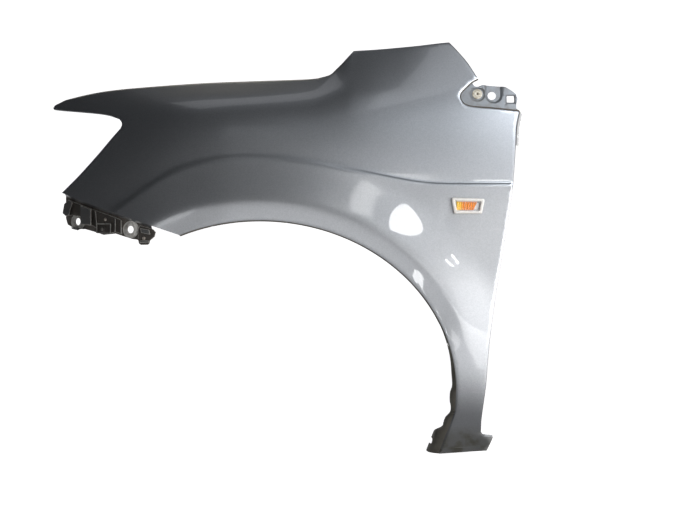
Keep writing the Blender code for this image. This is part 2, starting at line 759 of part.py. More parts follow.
def door_tab_edge():
    """The rear edge between the cowl notch and the top of the door line."""
    return metres(DOOR_TAB_TOP) + behind_arch(DOOR_LINE[:1])


def panel_outline():
    """The stretches of the sheet's outline, clockwise from the front of the hood line."""
    half = RAIL_PAD_LENGTH / 2
    limits = [HOOD[0][0], RAIL_FRONT_X]
    for pad_x, pad_z in metres(RAIL_PADS):
        limits += [pad_x - half, pad_x + half]
    limits.append(HOOD[-1][0])
    stations = outline_stations(limits, EDGE_STEP)
    notch = metres(COWL_NOTCH)
    bracket = metres(BRACKET_OUTLINE)
    tail = [(ARCH_HALF_WIDTH - inset * MM, z * MM) for inset, z in TAIL_INSETS]
    foot = behind_arch(FOOT_LINE)
    arch = arch_points()
    lower = list(reversed(LOWER))
    flange = list(reversed(metres(BUMPER_OUTLINE)))
    rear_x = flange[0][0]
    front_x = flange[-1][0]
    rear_edge = [arch[-1], Vector(lower[0])] + [Vector((rear_x, curve_value(LOWER, rear_x)))]
    front_edge = [Vector((front_x, curve_value(LOWER, front_x))), Vector(LOWER[0])]
    wall = bracket_wall_line()
    return {
        "hood": [Vector((x, curve_value(HOOD, x))) for x in stations],
        "step": smooth_line(metres(COWL_STEP), EDGE_STEP * 0.8),
        "sail": smooth_line(metres(SAIL_TOP), EDGE_STEP),
        "pillar": smooth_line(metres(PILLAR_EDGE), EDGE_STEP),
        "wall_front": [Vector(notch[0])] + wall[:3],
        "bracket": straight_line([wall[2]] + bracket + [wall[-1]], FINE_STEP),
        "wall_rear": [wall[-1], Vector(notch[-1])],
        "door_tab": smooth_line(door_tab_edge(), EDGE_STEP * 0.8),
        "door": smooth_line(behind_arch(DOOR_LINE), EDGE_STEP),
        "foot_end": straight_line(foot, EDGE_STEP),
        "foot": straight_line([foot[-1], tail[-1]], EDGE_STEP),
        "tail": smooth_line(list(reversed(tail)), EDGE_STEP * 0.7),
        "arch": straight_line([tail[0], arch[0]], EDGE_STEP)[:-1] + arch,
        "lower_rear": straight_line(rear_edge, EDGE_STEP),
        "flange": straight_line([rear_edge[-1]] + flange + [front_edge[0]], EDGE_STEP * 0.7),
        "lower_front": straight_line(front_edge, EDGE_STEP),
        "lamp_edge": smooth_line(metres(LAMP_EDGE), EDGE_STEP),
        "tip": smooth_line(metres(TIP_EDGE), EDGE_STEP),
    }


def bracket_wall_line():
    """The foot of the wall between the skin and the cowl bracket, beside the notch edge."""
    notch = smooth_line(metres(COWL_NOTCH), FINE_STEP * 1.6)
    made = []
    for point, direction in zip(notch, outward_directions(notch)):
        made.append(point + direction * BRACKET_WALL)
    return made


def lower_wall_line():
    """The foot of the joggle between the skin and the bumper flange."""
    flange = metres(BUMPER_OUTLINE)
    count = round((flange[-1][0] - flange[0][0]) / (EDGE_STEP * 0.7))
    stations = outline_stations([flange[0][0], flange[-1][0]], (flange[-1][0] - flange[0][0]) / count)
    return [Vector((x, curve_value(LOWER, x) - BUMPER_JOGGLE)) for x in stations]


def lines_on_skin():
    """Lines that the skin's triangles follow: the shoulder, the flare's crest and the foot step."""
    made = []
    door = [(z, x) for x, z in reversed(behind_arch(DOOR_LINE))]
    rear = curve_value(door, SHOULDER[-1][1]) - SHOULDER_MARGIN
    for offset in (-9 * MM, -1 * MM, 7 * MM):
        stations = outline_stations([SHOULDER[0][0] - offset, rear], EDGE_STEP)
        line = [Vector((x, curve_value(SHOULDER, x) + offset)) for x in stations]
        made.append([p for p in line if p.y > curve_value(LOWER, p.x) + 3 * MM])
    for offset in (-6 * MM, 0.0, 6 * MM):
        line = []
        reach = LIP_BAND + offset
        for degrees in range(28, 118, 3):
            a = math.radians(degrees)
            across = (ARCH_HALF_WIDTH + reach) * math.cos(a)
            line.append(Vector((across, (ARCH_HEIGHT + reach) * math.sin(a))))
        made.append(line)
    for drop in (9 * MM, 21 * MM, 36 * MM):
        stations = outline_stations([-360 * MM + drop, HOOD[-1][0] - drop * 0.2], EDGE_STEP)
        made.append([Vector((x, curve_value(HOOD, x) - drop)) for x in stations])
    step = behind_arch(FOOT_STEP_LINE)
    tops = behind_arch(FOOT_STEP_TOPS)
    made.append([Vector(step[0]), Vector(step[1]), Vector(tops[2])])
    lows = []
    for x, z in tops:
        share = (x - step[0][0]) / (step[2][0] - step[0][0])
        lows.append(Vector((x, z - 1 * MM - FOOT_STEP_HEIGHT * share)))
    made.append(lows)
    return made


def lines_on_bracket():
    """Lines that follow the pocket, the open emboss and the window of the cowl bracket."""
    made = []
    pocket = metres([GROMMET_POCKET])[0]
    floor = ring(pocket, GROMMET_POCKET_FLOOR, GROMMET_POCKET_FLOOR, 20)
    made.append(floor + floor[:1])
    rim = ring(pocket, GROMMET_POCKET_RADIUS, GROMMET_POCKET_RADIUS, 24, math.radians(135))
    made.append(rim[:19])
    emboss = metres([EMBOSS_CENTRE])[0]
    for radius in (EMBOSS_FLOOR, EMBOSS_RADIUS - 0.3 * MM):
        line = [Vector((emboss[0] - radius, emboss[1] + 12 * MM))]
        for degrees in range(180, 361, 15):
            a = math.radians(degrees)
            line.append(Vector((emboss[0] + radius * math.cos(a), emboss[1] + radius * math.sin(a))))
        line.append(Vector((emboss[0] + radius, emboss[1] + 12 * MM)))
        made.append(line)
    corners = rounded_outline(window_corners(WINDOW_RIM), 3 * MM, 2)
    made.append(corners + corners[:1])
    return made


def window_corners(rim):
    """Corners of the bracket's window, grown by a rim, clockwise."""
    x, z = metres([WINDOW_CENTRE])[0]
    half_x = WINDOW_SIZE[0] / 2 + rim
    half_z = WINDOW_SIZE[1] / 2 + rim
    turns = ((-1, 1), (1, 1), (1, -1), (-1, -1))
    return [(x + side * half_x, z + up * half_z) for side, up in turns]


def lamp_frame():
    """The frame of the lamp's seat on the outer side of the skin."""
    normal = Vector((LAMP_SLOPES[0], -1, LAMP_SLOPES[1]))
    return frame_at(Vector((LAMP_AT[0], LAMP_DEPTH, LAMP_AT[1])), normal)


def panel_holes():
    """Closed outlines of the holes that go straight through the sheet."""
    frame = lamp_frame()
    lamp = []
    for point in lamp_outline(LAMP_HOLE_INSET):
        spot = frame @ Vector((point.x, point.y, 0))
        lamp.append(Vector((spot.x, spot.z)))
    holes = [lamp]
    holes.append(ring(metres([GROMMET_POCKET])[0], GROMMET_HOLE_RADIUS, GROMMET_HOLE_RADIUS, 16))
    holes.append(ring(metres([EMBOSS_HOLE])[0], EMBOSS_HOLE_RADIUS, EMBOSS_HOLE_RADIUS, 20))
    holes.append(rounded_outline(window_corners(0.0), 2 * MM, 2))
    for ear_x, ear_z in metres(EAR_HOLES):
        across = EAR_HOLE_RADIUS / math.hypot(1, flange_slope(ear_x))
        holes.append(ring((ear_x, ear_z), across, EAR_HOLE_RADIUS, 20))
    return holes


def make_panel(parts, cutters):
    """The pressed steel panel with every flange turned from it."""
    stretches = panel_outline()
    outline = []
    runs = {}
    for name, points in stretches.items():
        if outline and (outline[-1] - points[0]).length < 1e-6:
            points = points[1:]
            first = len(outline) - 1
        else:
            first = len(outline)
        outline += points
        runs[name] = (first, len(outline) - 1)
    if (outline[-1] - outline[0]).length < 1e-6:
        outline.pop()
    wall = bracket_wall_line()
    joggle = lower_wall_line()
    notch = smooth_line(metres(COWL_NOTCH), FINE_STEP * 1.6)
    bracket_area = wall[2:] + [Vector(p) for p in reversed(metres(BRACKET_OUTLINE))]
    on_bracket = wall + stretches["bracket"]
    flange_area = joggle + [Vector(p) for p in reversed(metres(BUMPER_OUTLINE))]
    on_flange = joggle + stretches["flange"][1:-1]
    lower = [Vector((p.x, curve_value(LOWER, p.x))) for p in joggle]
    on_skin = notch + lower

    def depth_of(x, z):
        if is_among(x, z, on_skin):
            return skin_depth(x, z)
        if is_among(x, z, on_bracket) or inside((x, z), bracket_area):
            return bracket_depth(x, z)
        if is_among(x, z, on_flange) or inside((x, z), flange_area):
            return flange_depth(x, z)
        return skin_depth(x, z)

    lines = lines_on_skin() + lines_on_bracket() + [notch, wall[2:], joggle, lower]
    for drop in (14 * MM, 28 * MM):
        lines.append([p - Vector((0, drop)) for p in joggle if -0.36 < p.x < -0.25])
    for ear_x, ear_z in metres(EAR_HOLES):
        for radius in (EAR_PAD_RADIUS, EAR_PAD_BLEND):
            pad = ring((ear_x, ear_z), radius, radius, 16)
            lines.append(pad + pad[:1])
    shape, border = fill_sheet(outline, lines, panel_holes(), SKIN_GRID, depth_of)
    total = len(border)

    def run(name, skip_start=0, skip_end=0):
        first, last = runs[name]
        numbers = range(first + skip_start, last + 1 - skip_end)
        edge = [border[i % total] for i in numbers]
        return edge, outward_directions([Vector((v.co.x, v.co.z)) for v in edge])

    edge, out = run("hood")
    keep = [i for i, v in enumerate(edge) if v.co.x > RAIL_FRONT_X - 1e-6]
    add_flange(shape, [edge[i] for i in keep], [rail_row(0.0), rail_row(RAIL_WIDTH)], [out[i] for i in keep])
    for name in ("step", "sail", "pillar"):
        edge, out = run(name)
        add_flange(shape, edge, [turned(SAIL_FLANGE, -1 * MM)], out)
    edge, out = run("door_tab")
    tab = [turned(DOOR_FLANGE * 0.8, 0.35 * DOOR_TAB_REACH), turned(DOOR_TAB_DEPTH, DOOR_TAB_REACH)]
    add_flange(shape, edge, tab, out)
    edge, out = run("door")
    add_flange(shape, edge, [turned(DOOR_FLANGE, 0.5 * MM)], out)
    edge, out = run("tail")
    add_flange(shape, edge, [arch_row(0.5), arch_row(1.0)], out)
    edge, out = run("arch")
    add_flange(shape, edge, [arch_row(1.0)], out)
    edge, out = run("lamp_edge", 2, 0)
    add_flange(shape, edge, [turned(LAMP_EDGE_FLANGE, -1 * MM)], out)
    edge, out = run("foot", 1, 1)
    add_flange(shape, edge, [turned(DOOR_FLANGE, 1 * MM)], out)

    panel = add_object("fender_panel", shape, parts, "grey_paint")
    thick = panel.modifiers.new("sheet", "SOLIDIFY")
    thick.thickness = SHEET
    thick.offset = -1
    thick.use_even_offset = True
    thick.use_quality_normals = True
    panel.matrix_world = Matrix.Translation(-SEAT)
    cutter = add_cutter("panel_holes", panel_cutters(), cutters)
    cutter.matrix_world = Matrix.Translation(-SEAT)
    cut(panel, cutter)
    return panel


def slot_cutter(length, width, depth):
    """A straight slot with round ends along X, standing along Z."""
    half = (length - width) / 2
    outline = []
    for k in range(7):
        a = math.pi * k / 6 - math.pi / 2
        outline.append((half + width / 2 * math.cos(a), width / 2 * math.sin(a)))
    for k in range(7):
        a = math.pi * k / 6 + math.pi / 2
        outline.append((-half + width / 2 * math.cos(a), width / 2 * math.sin(a)))
    return prism(outline, -depth / 2, depth / 2)


def prism(outline, low, high):
    """A straight prism on a closed outline in the X-Y plane."""
    shape = bmesh.new()
    base = [shape.verts.new((x, y, low)) for x, y in outline]
    face = shape.faces.new(base)
    made = bmesh.ops.extrude_face_region(shape, geom=[face])
    top = [item for item in made["geom"] if isinstance(item, bmesh.types.BMVert)]
    bmesh.ops.translate(shape, verts=top, vec=(0, 0, high - low))
    bmesh.ops.recalc_face_normals(shape, faces=shape.faces)
    return shape


def panel_cutters():
    """Cutters for the slots and holes of the flanges and for the fasteners of the guides."""
    made = []
    for pad_x, pad_z in metres(RAIL_PADS):
        middle = Vector((pad_x, rail_outer(pad_x) + RAIL_WIDTH / 2, pad_z))
        made.append(move(slot_cutter(RAIL_SLOT_LENGTH, RAIL_SLOT_WIDTH, 8 * MM), Matrix.Translation(middle)))
    for degrees in LINER_HOLE_ANGLES:
        a = math.radians(degrees)
        lip = Vector((ARCH_HALF_WIDTH * math.cos(a), 0, ARCH_HEIGHT * math.sin(a)))
        lip.y = skin_depth(lip.x, lip.z) + ARCH_FLANGE * 0.55
        out = Vector((math.cos(a), 0, math.sin(a)))
        made.append(move(cylinder(LINER_HOLE_RADIUS, 12 * MM, 16), frame_at(lip, out, Vector((0, 1, 0)))))
    edge_x = curve_value([(z, x) for x, z in reversed(door_tab_edge())], DOOR_TAB_HOLE_Z)
    tab_y = skin_depth(edge_x, DOOR_TAB_HOLE_Z) + (DOOR_FLANGE * 0.8 + DOOR_TAB_DEPTH) / 2
    spot = Vector((edge_x + 0.675 * DOOR_TAB_REACH, tab_y, DOOR_TAB_HOLE_Z))
    made.append(move(cylinder(DOOR_TAB_HOLE_RADIUS, 12 * MM, 20), frame_at(spot, Vector((1, 0, 0)))))
    made.append(foot_slot_cutter())
    for point, radius in fastener_holes():
        made.append(move(cylinder(radius, 16 * MM, 20), surface_frame(flange_depth, *point)))
    return join(made)


def foot_slot_cutter():
    """The slot of the foot tab, open towards the front."""
    lip_x = curve_value([(z * MM, ARCH_HALF_WIDTH - i * MM) for i, z in reversed(TAIL_INSETS)], FOOT_SLOT_Z)
    spot = Vector((lip_x - FOOT_TAB_REACH, skin_depth(lip_x, FOOT_SLOT_Z) + FOOT_TAB_DEPTH, FOOT_SLOT_Z))
    along = Vector((FOOT_TAB_REACH, -FOOT_TAB_DEPTH, 0)).normalized()
    normal = Vector((along.y, -along.x, 0))
    frame = Matrix((along, Vector((0, 0, 1)), normal)).transposed().to_4x4()
    slot = slot_cutter(30 * MM, 2 * FOOT_SLOT_RADIUS, 14 * MM)
    return move(slot, Matrix.Translation(spot) @ frame)


def fastener_holes():
    """Places and radii of the holes for the rivets and the push clip."""
    rivet = RIVET_RADIUS + GAP
    points = metres([FRONT_RIVET, REAR_RIVET, PUSH_CLIP])
    return [(points[0], rivet), (points[1], rivet), (points[2], CLIP_SHANK_RADIUS + GAP)]


def moulded(outline, low, high, surface=flange_depth):
    """A moulded slab on the bumper flange, from one height above it to another, measured along Y."""
    points = straight_line(metres(outline + outline[:1]), EDGE_STEP * 0.7)[:-1]
    shape, border = fill_sheet(points, [], [], SKIN_GRID * 0.7, lambda x, z: surface(x, z) - low)
    made = bmesh.ops.extrude_face_region(shape, geom=list(shape.faces))
    raised = [item for item in made["geom"] if isinstance(item, bmesh.types.BMVert)]
    bmesh.ops.translate(shape, verts=raised, vec=(0, low - high, 0))
    bmesh.ops.recalc_face_normals(shape, faces=shape.faces)
    return shape


def standing(point, height):
    """A height above the bumper flange along Y, as a height along the flange's normal."""
    return height / math.hypot(1, flange_slope(point[0] * MM))


def finish_guide(name, outline, wall, blocks, parts, cutters, holes):
    """A guide: its plate, the blocks joined to it and its fastener holes."""
    guide = add_object(name, moulded(outline, GUIDE_GAP, GUIDE_GAP + wall), parts, "black_plastic")
    guide.matrix_world = Matrix.Translation(-SEAT)
    for i, block in enumerate(blocks):
        part = add_cutter(f"{name}_block_{i}", block, cutters)
        part.matrix_world = Matrix.Translation(-SEAT)
        cut(guide, part, "UNION")
    hole = add_cutter(name + "_holes", join(holes), cutters)
    hole.matrix_world = Matrix.Translation(-SEAT)
    cut(guide, hole)
    return guide


def make_guides(parts, cutters):
    """The black plastic guides under the front of the skin."""
    floor = GUIDE_GAP + 1 * MM
    blocks = [moulded(outline, floor, floor + height) for outline, height in GUIDE_BLOCKS]
    holes = []
    for point, radius in ((FRONT_RIVET, RIVET_RADIUS), (PUSH_CLIP, CLIP_SHANK_RADIUS)):
        spot = surface_frame(flange_depth, *metres([point])[0])
        holes.append(move(cylinder(radius + GAP, GUIDE_HOLE_LENGTH, 20), spot))
    finish_guide("bumper_guide", GUIDE_OUTLINE, GUIDE_WALL, blocks, parts, cutters, holes)
    end_blocks = [moulded(outline, floor, floor + height) for outline, height in END_GUIDE_BLOCKS]
    spot = surface_frame(flange_depth, *metres([REAR_RIVET])[0])
    hole = move(cylinder(RIVET_RADIUS + GAP, GUIDE_HOLE_LENGTH, 20), spot)
    finish_guide("bumper_guide_end", END_GUIDE_OUTLINE, END_GUIDE_WALL, end_blocks, parts, cutters, [hole])


def turned_object(name, profile, group, finish_name, steps=32):
    """A solid of revolution about Z from a profile that runs down its outer side."""
    mesh = bpy.data.meshes.new(name)
    edges = [(i, i + 1) for i in range(len(profile) - 1)]
    mesh.from_pydata([(r, 0, z) for r, z in profile], edges, [])
    made = bpy.data.objects.new(name, mesh)
    group.objects.link(made)
    mesh.materials.append(finish(finish_name))
    spin = made.modifiers.new("turn", "SCREW")
    spin.steps = steps
    spin.render_steps = steps
    spin.use_merge_vertices = True
    spin.merge_threshold = 0.00001
    return made


def make_rivet(name, point, base, parts):
    """A hollow rivet through a guide and the flange, with its head a gap above the guide."""
    head_low = base + GAP
    head_high = head_low + RIVET_HEAD_HEIGHT
    tail_high = -SHEET - GAP
    tail_low = tail_high - 4 * MM
    bulb = RIVET_RADIUS + 0.8 * MM
    profile = [
        (RIVET_BORE, head_high - 0.3 * MM),
        (RIVET_BORE + 0.4 * MM, head_high),
        (RIVET_HEAD_RADIUS * 0.7, head_high),
        (RIVET_HEAD_RADIUS, head_low + 0.3 * MM),
        (RIVET_HEAD_RADIUS, head_low),
        (RIVET_RADIUS, head_low),
        (RIVET_RADIUS, tail_high),
        (bulb, tail_high),
        (bulb, tail_low + 1 * MM),
        (RIVET_RADIUS, tail_low),
        (RIVET_BORE, tail_low),
        (RIVET_BORE, head_high - 0.3 * MM),
    ]
    rivet = turned_object(name, profile, parts, "zinc_steel", 20)
    place(rivet, surface_frame(flange_depth, *metres([point])[0]))


def make_push_clip(parts, cutters):
    """The split clip in the guide's pocket and the pin that spreads it."""
    base = standing(PUSH_CLIP, GUIDE_GAP + GUIDE_WALL) + GAP
    top = base + CLIP_HEAD_HEIGHT
    bore = CLIP_PIN_RADIUS + GAP
    tail = -CLIP_SHANK_LENGTH
    profile = [
        (bore, top),
        (CLIP_HEAD_RADIUS - 0.5 * MM, top),
        (CLIP_HEAD_RADIUS, top - 0.5 * MM),
        (CLIP_HEAD_RADIUS, base),
        (CLIP_SHANK_RADIUS, base),
        (CLIP_SHANK_RADIUS, -SHEET - GAP),
        (CLIP_SHANK_RADIUS + 0.9 * MM, -SHEET - 1.6 * MM),
        (bore + 0.8 * MM, tail),
        (bore, tail),
        (bore, top),
    ]
    clip = turned_object("guide_push_clip", profile, parts, "black_plastic", 24)
    frame = surface_frame(flange_depth, *metres([PUSH_CLIP])[0])
    place(clip, frame)
    slots = []
    for side in (-1, 1):
        block = bmesh.new()
        bmesh.ops.create_cube(block, size=1.0)
        bmesh.ops.scale(block, vec=(1.1 * MM, 20 * MM, CLIP_SHANK_LENGTH), verts=block.verts)
        low = Matrix.Translation((0, 0, -SHEET - 2 * MM - CLIP_SHANK_LENGTH / 2))
        slots.append(move(block, Matrix.Rotation(side * math.pi / 4, 4, "Z") @ low))
    for side in (-1, 1):
        crescent = cylinder(CLIP_HEAD_RADIUS * 0.24, 4 * MM, 16)
        stretch = Matrix.Diagonal((0.8, 1.7, 1, 1))
        shift = Matrix.Translation((side * CLIP_HEAD_RADIUS * 0.62, 0, top))
        slots.append(move(crescent, shift @ stretch))
    cutter = add_cutter("push_clip_slots", join(slots), cutters)
    place(cutter, frame)
    cut(clip, cutter)
    head_low = top + GAP
    pin_profile = [
        (0, head_low + 1.2 * MM),
        (CLIP_PIN_RADIUS + 0.6 * MM, head_low + 1.2 * MM),
        (CLIP_PIN_RADIUS + 1 * MM, head_low + 0.8 * MM),
        (CLIP_PIN_RADIUS + 1 * MM, head_low),
        (CLIP_PIN_RADIUS, head_low),
        (CLIP_PIN_RADIUS, tail + 2 * MM),
        (0.5 * MM, tail),
        (0, tail),
    ]
    pin = turned_object("guide_push_pin", pin_profile, parts, "black_plastic", 20)
    place(pin, frame)


def make_grommet(parts, cutters):
    """The screw grommet in the pocket of the cowl bracket."""
    x, z = metres([GROMMET_POCKET])[0]
    frame = surface_frame(bracket_depth, x, z)
    base = GAP
    shank = GROMMET_HOLE_RADIUS - 0.5 * MM
    top = base + GROMMET_HEAD_HEIGHT
    below = -SHEET - GAP
    tail = below - GROMMET_SHANK_LENGTH
    profile = [
        (GROMMET_BORE, top - 1.2 * MM),
        (GROMMET_HEAD_RADIUS * 0.34, top),
        (GROMMET_HEAD_RADIUS * 0.62, top),
        (GROMMET_HEAD_RADIUS * 0.72, top - 0.9 * MM),
        (GROMMET_HEAD_RADIUS, top - 1.2 * MM),
        (GROMMET_HEAD_RADIUS, base),
        (shank, base),
        (shank, below),
        (shank + 0.8 * MM, below - 0.8 * MM),
        (shank - 1.2 * MM, tail),
        (GROMMET_BORE, tail),
        (GROMMET_BORE, top - 1.2 * MM),
    ]
    grommet = turned_object("cowl_grommet", profile, parts, "white_nylon", 32)
    place(grommet, frame)
    saw = bmesh.new()
    bmesh.ops.create_cube(saw, size=1.0)
    bmesh.ops.scale(saw, vec=(30 * MM, 1.2 * MM, GROMMET_SHANK_LENGTH), verts=saw.verts)
    move(saw, Matrix.Translation((0, 0, below - 3 * MM - GROMMET_SHANK_LENGTH / 2)))
    cutter = add_cutter("grommet_slot", saw, cutters)
    place(cutter, frame)
    cut(grommet, cutter)


def lamp_levels():
    """Heights of the lamp's layers above the skin, from the gasket out."""
    gasket = GAP
    flange = gasket + GASKET_THICKNESS + GAP
    lens_floor = flange + LAMP_WALL + GAP
    return gasket, flange, lens_floor


def plate_with_window(outer, inner, low, high):
    """A flat ring between two outlines, as a bmesh."""
    count = len(outer)
    shape = bmesh.new()
    rows = []
    for points, height in ((outer, low), (outer, high), (inner, high), (inner, low)):
        rows.append([shape.verts.new((p[0], p[1], height)) for p in points])
    for k in range(4):
        first = rows[k]
        second = rows[(k + 1) % 4]
        for i in range(count):
            j = (i + 1) % count
            shape.faces.new((first[i], first[j], second[j], second[i]))
    bmesh.ops.recalc_face_normals(shape, faces=shape.faces)
    return shape


def socket_position():
    """Middle of the bulb socket in the lamp's plane."""
    return Vector((SOCKET_OFFSET, -0.3 * MM, 0))


def make_lamp(parts, cutters):
    """The side lamp: gasket, housing, filter, lens, bulb with its holder, and the spring clip."""
    frame = lamp_frame()
    gasket_low, flange_low, lens_floor = lamp_levels()
    body = lamp_outline(LAMP_BODY_INSET)
    gasket = plate_with_window(lamp_outline(GASKET_INSET), lamp_outline(LAMP_HOLE_INSET),
                               gasket_low, gasket_low + GASKET_THICKNESS)
    place(add_object("repeater_gasket", gasket, parts, "soft_rubber"), frame)

    housing = add_object("repeater_housing", housing_shape(), parts, "black_plastic")
    place(housing, frame)
    collar = cylinder(SOCKET_COLLAR, 8 * MM, 28)
    move(collar, Matrix.Translation(socket_position() + Vector((0, 0, -LAMP_BODY_DEPTH - 2 * MM))))
    ring_cutter = add_cutter("socket_collar", collar, cutters)
    place(ring_cutter, frame)
    cut(housing, ring_cutter, "UNION")
    bore = cylinder(SOCKET_BORE, 20 * MM, 28)
    move(bore, Matrix.Translation(socket_position() + Vector((0, 0, -LAMP_BODY_DEPTH))))
    bore_cutter = add_cutter("socket_bore", bore, cutters)
    place(bore_cutter, frame)
    cut(housing, bore_cutter)

    place(add_object("repeater_lens", lens_shape(lens_floor), parts, "clear_plastic"), frame)
    make_filter(frame, lens_floor, parts, cutters)
    make_bulb(frame, parts)
    make_holder(frame, parts, cutters)
    make_lamp_clip(frame, body, parts)


def housing_shape():
    """The lamp's moulded body: a tray with a flange that lies on the gasket."""
    levels = lamp_levels()
    inner = LAMP_BODY_INSET + LAMP_WALL
    sections = [
        (LAMP_BODY_INSET + 1.5 * MM, -LAMP_BODY_DEPTH),
        (LAMP_BODY_INSET, -LAMP_BODY_DEPTH * 0.35),
        (LAMP_BODY_INSET, levels[1]),
        (GASKET_INSET, levels[1]),
        (GASKET_INSET, levels[1] + LAMP_WALL),
        (inner, levels[1] + LAMP_WALL),
        (inner, -LAMP_BODY_DEPTH * 0.35),
        (inner + 1.5 * MM, -LAMP_BODY_DEPTH + LAMP_WALL),
    ]
    return lofted(sections)


def lofted(sections):
    """A closed solid through inset copies of the lamp's outline, capped at both ends."""
    shape = bmesh.new()
    rows = []
    for inset, height in sections:
        rows.append([shape.verts.new((p.x, p.y, height)) for p in lamp_outline(inset)])
    for first, second in zip(rows, rows[1:]):
        for i in range(len(first)):
            j = (i + 1) % len(first)
            shape.faces.new((first[i], first[j], second[j], second[i]))
    shape.faces.new(rows[0])
    shape.faces.new(rows[-1])
    bmesh.ops.recalc_face_normals(shape, faces=shape.faces)
    return shape


def lens_shape(lens_floor):
    """The clear lens: a cap over the housing's flange with a crowned face."""
    top = lens_floor + LENS_HEIGHT
    skirt = GASKET_INSET - 1.5 * MM
    rim = 5.2 * MM
    sections = [
        (skirt, lens_floor),
        (skirt + 0.4 * MM, top - 1.6 * MM),
        (skirt + 1.6 * MM, top - 0.3 * MM),
        (rim, top),
        (rim + 1 * MM, top - 0.7 * MM),
        (rim + 3.5 * MM, top + 0.3 * LENS_CROWN - 0.7 * MM),
        (rim + 6.5 * MM, top + LENS_CROWN - 0.7 * MM),
        (rim + 6.5 * MM, top + LENS_CROWN - 0.7 * MM - LENS_THICKNESS),
        (rim + 3.5 * MM, top + 0.3 * LENS_CROWN - 0.7 * MM - LENS_THICKNESS),
        (skirt + LENS_THICKNESS, top - 0.7 * MM - LENS_THICKNESS),
        (skirt + LENS_THICKNESS, lens_floor),
    ]
    shape = bmesh.new()
    rows = []
    for inset, height in sections:
        rows.append([shape.verts.new((p.x, p.y, height)) for p in lamp_outline(inset)])
    for k, first in enumerate(rows):
        if k == 6:
            shape.faces.new(rows[6])
            shape.faces.new(rows[7])
            continue
        second = rows[(k + 1) % len(rows)]
        for i in range(len(first)):
            j = (i + 1) % len(first)
            shape.faces.new((first[i], first[j], second[j], second[i]))
    bmesh.ops.recalc_face_normals(shape, faces=shape.faces)
    return shape


def make_filter(frame, lens_floor, parts, cutters):
    """The amber insert behind the lens, with upright ribs that spread the light."""
    corners = inset_corners(metres(LAMP_RIM), LAMP_BODY_INSET + LAMP_WALL + GAP)
    left = min(c.x for c in corners)
    right = max(c.x for c in corners)
    limit = left + (right - left) * FILTER_SHARE
    kept = []
    for i, corner in enumerate(corners):
        if corner.x <= limit:
            kept.append(corner)
            continue
        other = corners[i - 1] if corners[i - 1].x <= limit else corners[(i + 1) % len(corners)]
        share = (limit - other.x) / (corner.x - other.x)
        kept.append(other + (corner - other) * share)
    low = lens_floor - LAMP_WALL + 0.2 * MM
    made = prism([(p.x, p.y) for p in rounded_outline(kept, 1.2 * MM, 2)], low, low + FILTER_THICKNESS)
    insert = add_object("repeater_filter", made, parts, "amber_plastic")
    place(insert, frame)
    count = int((limit - left - 3 * MM) / (2 * FILTER_RIB))
    lowest = max(p.y for p in kept if p.y < 0)
    highest = min(p.y for p in kept if p.y > 0)
    ribs = []
    for k in range(count):
        rib = cylinder(FILTER_RIB / 2, highest - lowest - 3 * MM, 8)
        x = left + 3.5 * MM + 2 * FILTER_RIB * k
        lie = Matrix.Rotation(math.pi / 2, 4, "X")
        spot = Matrix.Translation((x, (highest + lowest) / 2, low + FILTER_THICKNESS))
        ribs.append(move(rib, spot @ lie))
    cutter = add_cutter("filter_ribs", join(ribs), cutters)
    place(cutter, frame)
    cut(insert, cutter, "UNION")


def make_bulb(frame, parts):
    """The wedge bulb, one sealed glass body standing in the holder."""
    base = -LAMP_BODY_DEPTH + LAMP_WALL - HOLDER_POCKET
    tip = base + 17 * MM
    profile = [
        (0, tip),
        (BULB_RADIUS * 0.55, tip - 0.7 * MM),
        (BULB_RADIUS * 0.9, tip - 2.4 * MM),
        (BULB_RADIUS, tip - 4.6 * MM),
        (BULB_RADIUS * 0.92, tip - 7.5 * MM),
        (BULB_NECK, tip - 10.5 * MM),
        (BULB_NECK, base),
        (0, base),
    ]
    bulb = turned_object("repeater_bulb", profile, parts, "bulb_glass", 24)
    place(bulb, frame @ Matrix.Translation(socket_position()))


def make_holder(frame, parts, cutters):
    """The bulb holder with its ring seal and the two blades of its socket."""
    seat = -LAMP_BODY_DEPTH - 6 * MM
    flange_top = seat - GAP - 2 * SEAL_SECTION - GAP
    nose = -LAMP_BODY_DEPTH + LAMP_WALL - GAP
    shank = SOCKET_BORE - GAP
    pocket = BULB_NECK + GAP
    flange_low = flange_top - HOLDER_FLANGE
    tail = flange_low - HOLDER_LENGTH * 0.6
    profile = [
        (pocket, nose),
        (shank, nose),
        (shank, flange_top),
        (HOLDER_FLANGE_RADIUS, flange_top),
        (HOLDER_FLANGE_RADIUS, flange_low),
        (SOCKET_BORE, flange_low),
        (SOCKET_BORE, tail),
        (SOCKET_BORE - 1.4 * MM, tail),
        (SOCKET_BORE - 1.4 * MM, flange_low - 1 * MM),
        (0, flange_low - 1 * MM),
    ]
    mid = [(0, nose - HOLDER_POCKET), (pocket, nose - HOLDER_POCKET)]
    holder = turned_object("repeater_holder", mid + profile, parts, "grey_plastic", 28)
    spot = frame @ Matrix.Translation(socket_position())
    place(holder, spot)
    inner = shank + GAP
    seal = turned_object("repeater_holder_seal", seal_profile(inner, seat), parts, "soft_rubber", 28)
    place(seal, spot)
    wide, thick, long = TERMINAL_SIZE[1], TERMINAL_SIZE[0], TERMINAL_SIZE[2]
    floor = flange_low - 1 * MM
    for name, side in (("repeater_terminal_upper", 1), ("repeater_terminal_lower", -1)):
        blade = bmesh.new()
        bmesh.ops.create_cube(blade, size=1.0)
        bmesh.ops.scale(blade, vec=(wide, thick, long), verts=blade.verts)
        shift = Vector((0, side * TERMINAL_SPACING / 2, floor - GAP - long / 2))
        move(blade, Matrix.Translation(shift))
        place(add_object(name, blade, parts, "brass_blade"), spot)


